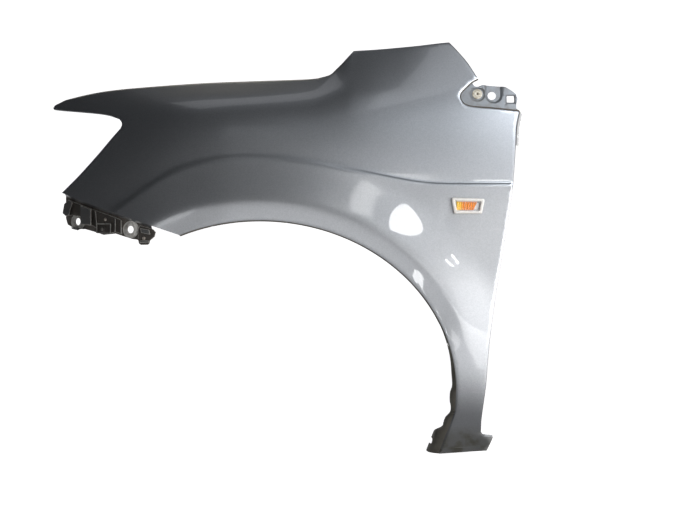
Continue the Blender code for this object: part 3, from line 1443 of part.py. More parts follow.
def seal_profile(inner, seat):
    """The round section of the holder's ring seal, closed."""
    middle = inner + SEAL_SECTION
    height = seat - GAP - SEAL_SECTION
    made = []
    for k in range(9):
        a = math.pi / 2 - 2 * math.pi * k / 8
        made.append((middle + SEAL_SECTION * math.cos(a), height + SEAL_SECTION * math.sin(a)))
    return made


def make_lamp_clip(frame, body, parts):
    """The spring band round the lamp's body that grips the inner side of the skin."""
    outer = max(p.y for p in body)
    inner = min(p.y for p in body)
    top = -SHEET - GAP
    depth = LAMP_BODY_DEPTH * 0.62
    line = []
    rise = 3.5 * MM
    line.append((outer + rise + 4 * MM, top - CLIP_SHEET))
    line.append((outer + rise, top - CLIP_SHEET - 0.8 * MM))
    line.append((outer + GAP + 0.6 * MM, top - depth))
    line.append((outer + GAP + 0.6 * MM, -LAMP_BODY_DEPTH - GAP - 0.6 * MM))
    line.append((inner - GAP - 0.6 * MM, -LAMP_BODY_DEPTH - GAP - 0.6 * MM))
    line.append((inner - GAP - 0.6 * MM, top - depth))
    line.append((inner - rise, top - CLIP_SHEET - 0.8 * MM))
    line.append((inner - rise - 4 * MM, top - CLIP_SHEET))
    shape = bmesh.new()
    left = 9 * MM
    first = [shape.verts.new((left, y, z)) for y, z in line]
    second = [shape.verts.new((left + CLIP_BAND, y, z)) for y, z in line]
    for i in range(len(line) - 1):
        shape.faces.new((first[i], first[i + 1], second[i + 1], second[i]))
    clip = add_object("repeater_clip", shape, parts, "spring_steel")
    thick = clip.modifiers.new("sheet", "SOLIDIFY")
    thick.thickness = CLIP_SHEET
    thick.offset = 0
    thick.use_even_offset = True
    place(clip, frame)


def main():
    for old in list(bpy.data.objects):
        bpy.data.objects.remove(old, do_unlink=True)
    parts = collection("car_fender")
    cutters = collection("cutters")
    make_panel(parts, cutters)
    make_guides(parts, cutters)
    make_rivet("guide_rivet_front", FRONT_RIVET, standing(FRONT_RIVET, GUIDE_GAP + GUIDE_WALL), parts)
    make_rivet("guide_rivet_rear", REAR_RIVET, standing(REAR_RIVET, GUIDE_GAP + END_GUIDE_WALL), parts)
    make_push_clip(parts, cutters)
    make_grommet(parts, cutters)
    make_lamp(parts, cutters)
    print("seat at", [round(value / MM, 2) for value in SEAT])


main()
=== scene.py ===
# The car fender's looks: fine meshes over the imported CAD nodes, procedural materials, a pale floor and
# soft studio light. Shapes are drawn in millimetres round the centre of the wheel arch, x to the rear,
# z up and depth w inboard, and moved to the row frame when the meshes are made.

import math
import json

import bmesh
import bpy
from mathutils import Matrix, Vector
from mathutils.geometry import delaunay_2d_cdt
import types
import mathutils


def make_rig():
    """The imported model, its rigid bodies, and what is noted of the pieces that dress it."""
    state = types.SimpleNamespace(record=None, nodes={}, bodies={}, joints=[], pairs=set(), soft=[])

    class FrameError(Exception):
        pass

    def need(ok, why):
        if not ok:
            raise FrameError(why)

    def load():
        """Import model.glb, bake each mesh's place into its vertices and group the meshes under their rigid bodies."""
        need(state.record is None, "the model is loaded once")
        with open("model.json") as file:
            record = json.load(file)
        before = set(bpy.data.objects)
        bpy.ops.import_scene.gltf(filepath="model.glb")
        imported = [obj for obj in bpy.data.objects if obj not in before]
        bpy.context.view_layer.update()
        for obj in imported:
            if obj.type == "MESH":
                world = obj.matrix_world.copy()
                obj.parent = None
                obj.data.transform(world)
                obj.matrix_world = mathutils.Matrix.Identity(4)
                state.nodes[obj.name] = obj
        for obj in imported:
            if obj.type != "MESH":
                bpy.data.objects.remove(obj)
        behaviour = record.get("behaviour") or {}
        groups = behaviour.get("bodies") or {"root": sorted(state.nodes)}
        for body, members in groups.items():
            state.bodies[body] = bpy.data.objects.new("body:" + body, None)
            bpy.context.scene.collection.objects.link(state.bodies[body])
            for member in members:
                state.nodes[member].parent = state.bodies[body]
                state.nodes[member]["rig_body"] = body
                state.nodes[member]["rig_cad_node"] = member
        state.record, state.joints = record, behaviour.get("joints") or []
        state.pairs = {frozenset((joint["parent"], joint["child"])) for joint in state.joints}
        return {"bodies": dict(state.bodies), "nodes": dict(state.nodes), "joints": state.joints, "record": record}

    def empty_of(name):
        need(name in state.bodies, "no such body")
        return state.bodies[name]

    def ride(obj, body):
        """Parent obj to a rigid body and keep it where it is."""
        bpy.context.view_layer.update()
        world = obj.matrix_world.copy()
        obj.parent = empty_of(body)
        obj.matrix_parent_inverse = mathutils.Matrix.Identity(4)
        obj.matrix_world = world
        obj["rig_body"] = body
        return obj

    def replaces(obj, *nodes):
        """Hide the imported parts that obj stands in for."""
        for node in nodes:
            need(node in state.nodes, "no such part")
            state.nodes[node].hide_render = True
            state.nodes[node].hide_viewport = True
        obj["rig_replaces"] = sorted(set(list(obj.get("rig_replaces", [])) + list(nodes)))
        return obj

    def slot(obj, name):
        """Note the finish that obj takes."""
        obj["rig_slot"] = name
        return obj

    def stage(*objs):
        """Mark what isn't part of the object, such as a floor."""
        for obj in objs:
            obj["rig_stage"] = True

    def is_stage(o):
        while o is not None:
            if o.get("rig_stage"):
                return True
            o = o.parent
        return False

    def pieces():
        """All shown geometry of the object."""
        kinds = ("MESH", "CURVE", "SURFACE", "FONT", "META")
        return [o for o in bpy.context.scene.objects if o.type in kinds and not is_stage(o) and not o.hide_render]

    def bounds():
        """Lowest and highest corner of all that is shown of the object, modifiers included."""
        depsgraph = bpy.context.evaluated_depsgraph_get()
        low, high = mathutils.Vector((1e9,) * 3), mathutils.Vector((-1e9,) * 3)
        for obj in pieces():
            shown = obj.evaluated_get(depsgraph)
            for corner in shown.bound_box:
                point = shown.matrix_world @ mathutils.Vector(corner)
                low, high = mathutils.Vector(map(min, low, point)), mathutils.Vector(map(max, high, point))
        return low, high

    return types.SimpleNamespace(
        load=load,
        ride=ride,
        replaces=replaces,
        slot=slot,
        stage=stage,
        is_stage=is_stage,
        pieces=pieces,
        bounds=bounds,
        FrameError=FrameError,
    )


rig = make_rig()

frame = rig.load()
low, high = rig.bounds()
with open("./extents.json", "w") as out:
    json.dump({"before": [list(low), list(high)]}, out)
print("stage: frame loaded")

seat = Vector((-96.8, 171.91, 544.2))  # the middle pad of the hood rail, where the row frame starts
scene = bpy.context.scene

# Form of the skin, the same as the CAD source
archHalfWidth, archHeight = 347.5, 302.0
archFront = -142  # where the arch lip ends at the front
hoodLine = [(-397, 534), (-385, 538.5), (-309, 550), (-215, 556), (-90, 563), (11, 566), (101, 567)]
cowlStep = [(101, 567), (123, 572), (134, 582), (146, 594), (157, 606), (167, 617)]
sailTop = [(167, 617), (195, 617), (222, 618), (279, 621.5), (320, 625.5), (340, 627)]
pillarEdge = [(340, 627), (352, 613), (371, 588), (389, 557)]
cowlNotch = [
    (389, 557), (378, 551), (367, 541), (358, 531), (356, 522), (360, 513), (369, 507), (385, 504),
    (420, 501), (461, 496)
]
doorTabEdge = [(461, 496), (455, 468), (453, 435)]
doorEdge = [
    (453, 435), (449, 385), (443, 337), (434, 280), (424, 220), (413, 150), (404, 75), (399, 10),
    (392, -45), (391, -72)
]
footEnd = [(391, -72), (394, -76), (411, -78), (412, -82), (402, -107)]
tailInsets = [(3, -37), (9, -56), (15, -75), (21, -92), (28, -113)]
lowerEdge = [
    (-375, 356), (-345, 344), (-301, 328.5), (-260, 315), (-224, 303), (-188, 291), (-158, 281)
]
lampEdge = [(-375, 356), (-338, 388), (-302, 424), (-272, 458), (-260, 472), (-258, 482), (-264, 490)]
tipEdge = [(-264, 490), (-298, 501), (-385, 515), (-409, 520), (-412, 524), (-409, 529), (-397, 534)]
shoulderLine = [
    (-261, 324), (-159, 387), (-77, 411), (-10, 416), (80, 407), (179, 389), (260, 373), (310, 367),
    (450, 366)
]
rollDepth = [
    (-370, 95), (-200, 99), (-100, 95), (0, 88), (80, 80), (130, 62), (165, 50), (250, 43), (330, 38),
    (450, 30)
]
flangeRunLine = [(-375, 151), (-340, 122), (-300, 92.5), (-260, 64), (-225, 44.2), (-192, 30)]
bracketOutline = [
    (381, 546), (384, 543.5), (388, 542.5), (392, 543.5), (397, 546), (424, 543.5), (438, 542),
    (449, 535), (456, 529), (459, 519), (456.5, 510), (456, 502)
]
bumperOutline = [
    (-368, 342), (-368, 309), (-364, 297), (-354, 292), (-326, 288), (-303, 282), (-287, 277),
    (-262, 279), (-246, 274), (-229, 269), (-220, 268), (-213, 264), (-199, 264), (-192, 272),
    (-192, 284)
]
railPads = [(-285, 534), (-110, 545), (60, 549.5)]
railEnds = [(-372, 522), (101, 550.5)]
earHoles = [(-341, 302), (-232, 286)]
lampCentre = (366, 327)
grommetAt = (388, 529)
embossAt = (417, 527)
embossHole = (414, 526)
windowAt, windowHalf = (446.5, 519), (6.5, 6)
footStepLine = [(366, -82), (394, -76), (412, -78)]
lipReachLine = [
    (-76, 12.5), (-66, 12), (-48, 12.5), (-38, 7), (-27, 8), (-18, 10.5), (-2, 10.5), (8, 7), (30, 6.5),
    (60, 4.2), (110, 2.2)
]
padHalf = 22  # half the length of a pad on the rail
lipDepth, tabDepth, tabReach = 19, 42, 22  # the arch flange, and the tab it becomes at the foot
rivets = [(-281, 305), (-205, 270.5)]
rivetHole, clipHole = 2.4, 3.9
guideGap, guideWalls = 0.3, (2.6, 3.5)
pushClipAt = (-286, 287)


def toRow(x, w, z):
    return ((x - seat.x) / 1000, (w - seat.y) / 1000, (z - seat.z) / 1000)


def curveWeights(t):
    # Shares of the start, its slope, the end and its slope in a cubic
    return 2 * t ** 3 - 3 * t ** 2 + 1, t ** 3 - 2 * t ** 2 + t, 3 * t ** 2 - 2 * t ** 3, t ** 3 - t ** 2


def curveValue(points, x):
    count = len(points)

    def slope(i):
        a = points[max(i - 1, 0)]
        b = points[min(i + 1, count - 1)]
        return (b[1] - a[1]) / (b[0] - a[0])

    if x <= points[0][0]:
        return points[0][1] + slope(0) * (x - points[0][0])
    if x >= points[-1][0]:
        return points[-1][1] + slope(count - 1) * (x - points[-1][0])
    i = 0
    while x > points[i + 1][0]:
        i += 1
    span = points[i + 1][0] - points[i][0]
    a, b, c, d = curveWeights((x - points[i][0]) / span)
    start = points[i][1] * a + slope(i) * span * b
    return start + points[i + 1][1] * c + slope(i + 1) * span * d


def softRamp(value, radius):
    return 0.5 * (value + math.hypot(value, radius))


def blend(value, lowEnd, highEnd):
    t = min(1.0, max(0.0, (value - lowEnd) / (highEnd - lowEnd)))
    return t * t * (3 - 2 * t)


def lipDistance(x, z):
    share = math.hypot(x / archHalfWidth, z / archHeight)
    return math.hypot(x, z) * (1 - 1 / share)


# How the skin bulges, in mm and slopes
form = {
    "shoulder": 15.5,
    "crease": 3.5,
    "lean": 0.13,
    "rollTop": 541,
    "rollPower": 3.2,
    "noseCurve": 0.00105,
    "noseFrom": -50,
    "bellyCurve": 0.00011,
    "bellyFrom": 250,
    "tailCurve": 0.0022,
    "tailFrom": -30,
    "flareSlope": 0.17,
    "flareReach": 112,
    "lipReach": 33,
    "lipSlope": (0.17, 0.41),
}


def flare(x, z):
    # The wheel arch's swelling, which falls back to a lip and is weaker low at the tail
    fromLip = lipDistance(x, z)
    low, high = form["lipSlope"]
    tuck = low + (high - low) * blend(z, 60, 150)
    rise = form["flareSlope"] * softRamp(form["flareReach"] - fromLip, 24)
    return (rise - tuck * softRamp(form["lipReach"] - fromLip, 7)) * (0.35 + 0.65 * blend(z, 20, 220))


def openDepth(x, z):
    # The skin without its flat for the lamp: a rolled top, a shoulder crease, a nose and a belly
    shoulder = curveValue(shoulderLine, x)
    above = z - shoulder
    span = form["rollTop"] - shoulder
    share = max(0.0, above) / span
    power = form["rollPower"]
    roll = share ** power if share < 1 else 1 + power * (share - 1)
    depth = form["shoulder"] + form["noseCurve"] * max(0.0, form["noseFrom"] - x) ** 2
    depth += form["lean"] * softRamp(above, 8) + (curveValue(rollDepth, x) - form["lean"] * span) * roll
    soft = 2.2 + 5 * blend(-x, -260, -20)
    depth -= form["crease"] * blend(-above, -soft, soft)
    depth += form["bellyCurve"] * min(0.0, z - form["bellyFrom"]) ** 2
    depth += form["tailCurve"] * max(0.0, form["tailFrom"] - z) ** 2
    return depth - flare(x, z)


def slopes(surface, x, z):
    return ((surface(x + 2, z) - surface(x - 2, z)) / 4, (surface(x, z + 2) - surface(x, z - 2)) / 4)


lampDepth = openDepth(*lampCentre)
lampSlopes = slopes(openDepth, *lampCentre)
bracketMiddle = (410, 520)
bracketBase = openDepth(*bracketMiddle) + 9
bracketSlopes = slopes(openDepth, *bracketMiddle)


def skinDepth(x, z):
    depth = openDepth(x, z)
    past = math.hypot(max(0.0, abs(x - lampCentre[0]) - 36), max(0.0, abs(z - lampCentre[1]) - 21))
    if past < 16:
        share = blend(past, 0, 16)
        flat = lampDepth + lampSlopes[0] * (x - lampCentre[0]) + lampSlopes[1] * (z - lampCentre[1])
        depth = depth * share + flat * (1 - share)
    if x > 366 and z < 0:
        top = curveValue(footStepLine, x)
        share = blend(x, 366, 412)
        depth -= 5 * share * (1 - blend(z, top - 1 - 5 * share, top))
    return depth


def bracketPlane(x, z):
    return (bracketBase + bracketSlopes[0] * (x - bracketMiddle[0])
            + bracketSlopes[1] * (z - bracketMiddle[1]))


def bracketDepth(x, z):
    pocket = 4 * (1 - blend(math.hypot(x - grommetAt[0], z - grommetAt[1]), 11, 14.5))
    across = math.hypot(x - embossAt[0], min(0.0, z - embossAt[1]))
    emboss = 5.5 * (1 - blend(across, 12, 16))
    past = max(abs(x - windowAt[0]) - windowHalf[0], abs(z - windowAt[1]) - windowHalf[1])
    window = 2.5 * (1 - blend(past, 0, 2.5))
    return bracketPlane(x, z) + max(pocket, emboss, window)


def flangeRun(x):
    return curveValue(flangeRunLine, x)


def flangeSlope(x):
    return (flangeRun(x + 2) - flangeRun(x - 2)) / 4


def flangeDepth(x, z):
    depth = flangeRun(x)
    for (earX, earZ), raised in zip(earHoles, (0.0, 2.5)):
        past = math.hypot(x - earX, z - earZ)
        if past < 13:
            flat = flangeRun(earX) + flangeSlope(earX) * (x - earX) - raised
            share = blend(past, 10, 13)
            depth = depth * share + flat * (1 - share)
    return depth


def railHeight(x):
    knots = [railEnds[0]]
    for padX, padZ in railPads:
        knots += [(padX - padHalf, padZ), (padX + padHalf, padZ)]
    knots.append(railEnds[1])
    i = 0
    while i < len(knots) - 2 and x > knots[i + 1][0] + 1e-6:
        i += 1
    share = (x - knots[i][0]) / (knots[i + 1][0] - knots[i][0])
    return knots[i][1] + (knots[i + 1][1] - knots[i][1]) * share


def lipReach(x, z):
    # How far the flange behind the arch lip shows inside the arch
    if z < 110 and x > 0:
        return curveValue(lipReachLine, max(z, lipReachLine[0][0]))
    return 2.2


def smoothLine(points, step):
    line = [Vector(p) for p in points]
    ends = [2 * line[0] - line[1]] + line + [2 * line[-1] - line[-2]]
    made = []
    for i in range(1, len(ends) - 2):
        before, start, end, after = ends[i - 1:i + 3]
        count = max(1, round((end - start).length / step))
        for k in range(count):
            a, b, c, d = curveWeights(k / count)
            pull = (end - before) * b / 2 + (after - start) * d / 2
            made.append(start * a + end * c + pull)
    made.append(line[-1])
    return made


def straightLine(points, step):
    made = []
    for start, end in zip(points, points[1:]):
        start, end = Vector(start), Vector(end)
        count = max(1, round((end - start).length / step))
        made += [start.lerp(end, k / count) for k in range(count)]
    return made + [Vector(points[-1])]


def ringPoints(centre, radiusX, radiusZ, count, start=0.0):
    turns = [start + 2 * math.pi * k / count for k in range(count)]
    return [Vector((centre[0] + radiusX * math.cos(a), centre[1] + radiusZ * math.sin(a)))
            for a in turns]


def insetCorners(corners, inset):
    made = []
    count = len(corners)
    for i in range(count):
        here = Vector(corners[i])
        into = (here - Vector(corners[i - 1])).normalized()
        away = (Vector(corners[(i + 1) % count]) - here).normalized()
        normalIn = Vector((into.y, -into.x))
        turn = normalIn + Vector((away.y, -away.x))
        made.append(here + turn * (inset / turn.dot(normalIn)))
    return made


def roundedOutline(corners, radius, count=6):
    made = []
    total = len(corners)
    for i in range(total):
        here = Vector(corners[i])
        back = (Vector(corners[i - 1]) - here).normalized()
        ahead = (Vector(corners[(i + 1) % total]) - here).normalized()
        half = back.angle(ahead) / 2
        reach = radius / math.tan(half)
        middle = here + (back + ahead).normalized() * (radius / math.sin(half))
        first = here + back * reach - middle
        last = here + ahead * reach - middle
        made += [middle + first.lerp(last, k / count).normalized() * radius for k in range(count + 1)]
    return made


def crossings(outline, z):
    # Sorted x where a closed outline crosses the height z
    made = []
    for i in range(len(outline)):
        x0, z0 = outline[i - 1]
        x1, z1 = outline[i]
        if (z0 > z) != (z1 > z):
            made.append((x1 - x0) * (z - z0) / (z1 - z0) + x0)
    return sorted(made)


def inside(x, z, outline):
    return sum(1 for c in crossings(outline, z) if c < x) % 2 == 1


class Area:
    # A closed outline with its bounding box, for quick tests

    def __init__(self, outline):
        self.outline = [tuple(p) for p in outline]
        self.box = (min(p[0] for p in self.outline), max(p[0] for p in self.outline),
                    min(p[1] for p in self.outline), max(p[1] for p in self.outline))

    def holds(self, x, z):
        a, b, c, d = self.box
        return a < x < b and c < z < d and inside(x, z, self.outline)


class NearPoints:
    # Points sorted into square cells, for quick distances

    def __init__(self, points, size):
        self.size = size
        self.cells = {}
        for p in points:
            self.cells.setdefault((int(p.x // size), int(p.y // size)), []).append(p)

    def distance(self, x, z, limit):
        best = limit
        column, row = int(x // self.size), int(z // self.size)
        for a in (column - 1, column, column + 1):
            for b in (row - 1, row, row + 1):
                for p in self.cells.get((a, b), ()):
                    best = min(best, math.hypot(p.x - x, p.y - z))
        return best


def isAmong(x, z, points):
    return any(abs(p[0] - x) < 0.004 and abs(p[1] - z) < 0.004 for p in points)


def fillSheet(outline, lines, holes, spacing, depthOf):
    # An open surface over an outline, outer side to -Y. Returns the bmesh in mm and its border
    points = [Vector(p) for p in outline]
    edges = [(i, (i + 1) % len(points)) for i in range(len(points))]
    for hole in holes:
        first = len(points)
        points += [Vector(p) for p in hole]
        edges += [(first + i, first + (i + 1) % len(hole)) for i in range(len(hole))]
    index = {(round(p.x, 4), round(p.y, 4)): i for i, p in enumerate(points)}
    for line in lines:
        numbers = []
        for p in line:
            key = (round(p[0], 4), round(p[1], 4))
            if key not in index:
                index[key] = len(points)
                points.append(Vector(p))
            numbers.append(index[key])
        edges += list(zip(numbers, numbers[1:]))
    drawn = NearPoints(points, spacing)
    keepOff = 0.6 * spacing
    border = [tuple(p) for p in outline]
    holeAreas = [Area(hole) for hole in holes]
    lowZ = min(p[1] for p in border)
    highZ = max(p[1] for p in border)
    rowHeight = spacing * math.sqrt(3) / 2
    grid = []
    for row in range(int((highZ - lowZ) / rowHeight) + 1):
        z = lowZ + (row + 0.5) * rowHeight
        cuts = crossings(border, z)
        for left, right in zip(cuts[::2], cuts[1::2]):
            column = math.ceil(left / spacing - 0.5 * (row % 2))
            while (column + 0.5 * (row % 2)) * spacing < right:
                x = (column + 0.5 * (row % 2)) * spacing
                column += 1
                free = drawn.distance(x, z, spacing) >= keepOff
                if free and not any(a.holds(x, z) for a in holeAreas):
                    grid.append(Vector((x, z)))
    made = delaunay_2d_cdt(points + grid, edges, [], 1, 1e-5)
    shape = bmesh.new()
    verts = [shape.verts.new((p.x, depthOf(p.x, p.y), p.y)) for p in made[0]]
    for face in made[2]:
        middle = (made[0][face[0]] + made[0][face[1]] + made[0][face[2]]) / 3
        if any(area.holds(middle.x, middle.y) for area in holeAreas):
            continue
        corners = [made[0][i] for i in face]
        turn = (corners[1] - corners[0]).cross(corners[2] - corners[0])
        shape.faces.new([verts[i] for i in (face if turn > 0 else face[::-1])])
    source = {}
    for i, origins in enumerate(made[3]):
        for origin in origins:
            source[origin] = i
    edgeVerts = [verts[source[i]] for i in range(len(outline))]
    keep = set(edgeVerts)
    for vert in [v for v in shape.verts if not v.link_faces and v not in keep]:
        shape.verts.remove(vert)
    return shape, edgeVerts


def outwardDirections(points):
    made = []
    for i in range(len(points)):
        along = (points[min(i + 1, len(points) - 1)] - points[max(i - 1, 0)]).normalized()
        made.append(Vector((-along.y, along.x)))
    return made


# Slots of the panel's materials. The inner side of a face takes the slot after its own
paintSlot, undersideSlot, bracketSlot, flangeSlot, sealerSlot, earSlot = 0, 1, 3, 5, 7, 9


def addFlange(shape, edge, rows, outward, dirtyFrom=99):
    # Turned rows behind an edge. Rows from dirtyFrom on take the underside's material
    last = list(edge)
    for number, row in enumerate(rows):
        new = [shape.verts.new(row(vert.co, outward[i])) for i, vert in enumerate(edge)]
        for i in range(len(edge) - 1):
            face = shape.faces.new((last[i], last[i + 1], new[i + 1], new[i]))
            face.material_index = undersideSlot if number >= dirtyFrom else paintSlot
        last = new


def turned(inboard, out=0.0):
    return lambda p, d: p + Vector((d.x * out, inboard, d.y * out))


def inboardRows(depth, out, count):
    # Rows of a plain flange: a small bend, then a straight wall
    return [turned(depth * k / count, out * k / count) for k in range(1, count + 1)]


def surfaceFrame(surface, x, z):
    # Frame of a surface in mm: Z out of the car, Y up
    alongX, alongZ = slopes(surface, x, z)
    zAxis = Vector((alongX, -1, alongZ)).normalized()
    xAxis = Vector((0, 0, 1)).cross(zAxis).normalized()
    yAxis = zAxis.cross(xAxis)
    turn = Matrix((xAxis, yAxis, zAxis)).transposed().to_4x4()
    return Matrix.Translation(Vector((x, surface(x, z), z))) @ turn


def placed(shape, matrix):
    bmesh.ops.transform(shape, matrix=matrix, verts=shape.verts)
    return shape


def smoothMesh(mesh):
    for polygon in mesh.polygons:
        polygon.use_smooth = True
    mesh.set_sharp_from_angle(angle=math.radians(32))


def meshObject(name, shape):
    # A bmesh in mm becomes a linked object in the row frame
    for vert in shape.verts:
        vert.co = Vector(toRow(*vert.co))
    mesh = bpy.data.meshes.new(name)
    shape.to_mesh(mesh)
    shape.free()
    made = bpy.data.objects.new(name, mesh)
    scene.collection.objects.link(made)
    return made


def addPiece(name, shape, nodes, slotName, materials):
    # A piece of the fender, in place of the CAD nodes named
    piece = meshObject(name, shape)
    for material in materials:
        piece.data.materials.append(material)
    smoothMesh(piece.data)
    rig.ride(piece, "root")
    if nodes:
        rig.replaces(piece, *nodes)
    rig.slot(piece, slotName)
    return piece


def bakePiece(piece, cutterShapes=(), overlapping=False):
    # Applies the piece's modifiers and cuts, then smooths it again
    cutters = [meshObject("cut", shape) for shape in cutterShapes]
    for cutter in cutters:
        step = piece.modifiers.new("cut", "BOOLEAN")
        step.object = cutter
        step.operation = "DIFFERENCE"
        step.solver = "EXACT"
        step.use_self = overlapping
    graph = bpy.context.evaluated_depsgraph_get()
    done = bpy.data.meshes.new_from_object(piece.evaluated_get(graph))
    piece.modifiers.clear()
    piece.data = done
    for cutter in cutters:
        bpy.data.objects.remove(cutter, do_unlink=True)
    smoothMesh(done)


# Shader helpers
def feed(tree, made, inputs):
    # Gives a node's inputs other nodes' outputs, colours or plain values
    for name, value in inputs.items():
        socket = made.inputs[name]
        if isinstance(value, bpy.types.NodeSocket):
            tree.links.new(value, socket)
        elif socket.type == "RGBA":
            socket.default_value = (*value[:3], 1.0)
        else:
            socket.default_value = value
    return made


def addNode(tree, kind, inputs=None):
    return feed(tree, tree.nodes.new("ShaderNode" + kind), inputs or {})


def mathNode(tree, operation, *values, clamp=False):
    made = addNode(tree, "Math", dict(enumerate(values)))
    made.operation = operation
    made.use_clamp = clamp
    return made.outputs[0]


def rampNode(tree, value, start, end, low=0.0, high=1.0):
    made = addNode(tree, "MapRange", {"Value": value, "From Min": start, "From Max": end,
                                      "To Min": low, "To Max": high})
    made.interpolation_type = "SMOOTHSTEP"
    return made.outputs["Result"]


def mixColour(tree, factor, a, b):
    made = tree.nodes.new("ShaderNodeMix")
    made.data_type = "RGBA"
    return feed(tree, made, {0: factor, 6: a, 7: b}).outputs[2]


def newMaterial(name):
    material = bpy.data.materials.new(name)
    material.use_nodes = True
    tree = material.node_tree
    return material, tree, tree.nodes["Principled BSDF"]


def wearGroup():
    # Dust in patches, crossing scratches and pale edges over a colour, from object coordinates. The pale edges are a
    # painted highlight along pointed edges, partly rubbed wear
    tree = bpy.data.node_groups.new("surfaceWear", "ShaderNodeTree")
    face = tree.interface
    for name in ("Colour", "Dust", "Rub And Highlight"):
        face.new_socket(name, in_out="INPUT", socket_type="NodeSocketColor")
    for name in ("Dust Amount", "Rub And Highlight Amount", "Scale"):
        face.new_socket(name, in_out="INPUT", socket_type="NodeSocketFloat")
    face.new_socket("Colour", in_out="OUTPUT", socket_type="NodeSocketColor")
    for name in ("Cover", "Grime", "Scratches", "Edges", "Height"):
        face.new_socket(name, in_out="OUTPUT", socket_type="NodeSocketFloat")
    given = tree.nodes.new("NodeGroupInput").outputs
    place = addNode(tree, "TexCoord").outputs["Object"]
    patches = addNode(tree, "TexNoise", {"Vector": place, "Scale": given["Scale"], "Detail": 6.0,
                                         "Roughness": 0.62})
    grime = rampNode(tree, patches.outputs["Fac"], 0.42, 0.66)
    lines = []
    for angle, stretch in ((0.5, 1.0), (-0.9, 0.8)):
        turn = addNode(tree, "Mapping", {"Vector": place, "Rotation": (0.0, angle, 0.0),
                                         "Scale": (9.0 * stretch, 90.0, 420.0 * stretch)})
        streak = addNode(tree, "TexNoise", {"Vector": turn.outputs["Vector"], "Scale": 1.0,
                                            "Detail": 3.0})
        lines.append(rampNode(tree, streak.outputs["Fac"], 0.70, 0.76))
    scratches = mathNode(tree, "MAXIMUM", *lines)
    fine = addNode(tree, "TexNoise", {"Vector": place, "Scale": 900.0, "Detail": 2.0})
    pointiness = addNode(tree, "NewGeometry").outputs["Pointiness"]
    # Pointed edges, given the pale colour as a painted highlight, partly rubbed wear
    edges = rampNode(tree, pointiness, 0.515, 0.60, 0.0, 0.7)
    cover = mathNode(tree, "MULTIPLY", grime, given["Dust Amount"])
    dusty = mixColour(tree, cover, given["Colour"], given["Dust"])
    scratchesAndHighlights = mathNode(tree, "MAXIMUM", edges, mathNode(tree, "MULTIPLY", scratches, 0.5))
    scratchesAndHighlights = mathNode(tree, "MULTIPLY", scratchesAndHighlights, given["Rub And Highlight Amount"])
    feed(tree, tree.nodes.new("NodeGroupOutput"), {
        "Colour": mixColour(tree, scratchesAndHighlights, dusty, given["Rub And Highlight"]), "Cover": cover, "Grime": grime,
        "Scratches": scratches, "Edges": edges, "Height": fine.outputs["Fac"]})
    return tree


wear = wearGroup()


def wearNode(tree, scale, colour=None, dust=None, amount=0.0, rubAndHighlight=None):
    made = tree.nodes.new("ShaderNodeGroup")
    made.node_tree = wear
    colours = {"Colour": colour, "Dust": dust, "Rub And Highlight": rubAndHighlight}
    feed(tree, made, {name: value for name, value in colours.items() if value})
    feed(tree, made, {"Scale": scale, "Dust Amount": amount, "Rub And Highlight Amount": 1.0 if rubAndHighlight else 0.0})
    return made.outputs


def wornMaterial(name, colour, roughness, metallic=0.0, dust=None, amount=0.0, scale=60.0, bump=0.02,
                 rubAndHighlight=None):
    # A plain surface with patchy dust, and pale edges if a colour is given for them: a painted highlight along pointed
    # edges, partly rubbed wear
    material, tree, shader = newMaterial(name)
    worn = wearNode(tree, scale, colour, dust or colour, amount, rubAndHighlight)
    relief = addNode(tree, "Bump", {"Strength": bump, "Distance": 0.001, "Height": worn["Height"]})
    feed(tree, shader, {"Base Color": worn["Colour"], "Normal": relief.outputs["Normal"],
                        "Roughness": mathNode(tree, "MULTIPLY_ADD", worn["Cover"], 0.35, roughness)})
    if metallic:
        clean = mathNode(tree, "SUBTRACT", 1.0, worn["Cover"])
        feed(tree, shader, {"Metallic": mathNode(tree, "MULTIPLY", clean, metallic)})
    return material


def glassMaterial(name, tint, alpha):
    material, tree, shader = newMaterial(name)
    worn = wearNode(tree, 90.0, tint, (0.6, 0.57, 0.5), 0.15)
    feed(tree, shader, {"Base Color": worn["Colour"], "Roughness": 0.06, "Alpha": alpha,
                        "Coat Weight": 1.0, "Coat Roughness": 0.03})
    return material


# Values a user may change: the pressed panel
panelLooks = {
    "paint": (0.46, 0.475, 0.50),
    "paintRoughness": 0.35,
    "flakeStrength": 0.07,
    "coatRoughness": 0.015,
    "sheet": 0.8,
    "grid": 5.0,
    "edgeStep": 5.0,
    "edgeRound": 1.3,
    "underside": (0.13, 0.12, 0.10),
    "bareSteel": (0.24, 0.22, 0.20),
    "earMetal": (0.95, 0.93, 0.89),
    "sealer": (0.17, 0.12, 0.075),
    "dirt": (0.062, 0.060, 0.050),
    "tailDirt": 0.5,
    "tailPatches": 0.7,
    # Painted shade low on the panel, with some dirt film: how strong, and its colour
    "lowShadeAndFilm": 0.82,
    "lowShadeAndFilmColour": (0.045, 0.047, 0.052),
    "scratches": 0.15,
    # Painted highlight on pointed edges at the tail; the pale colour below serves it and the scratches
    "tailEdgeHighlight": 0.35,
    "scratchAndHighlightPale": (0.75, 0.75, 0.74),
    "bracket": (0.30, 0.315, 0.335),
}


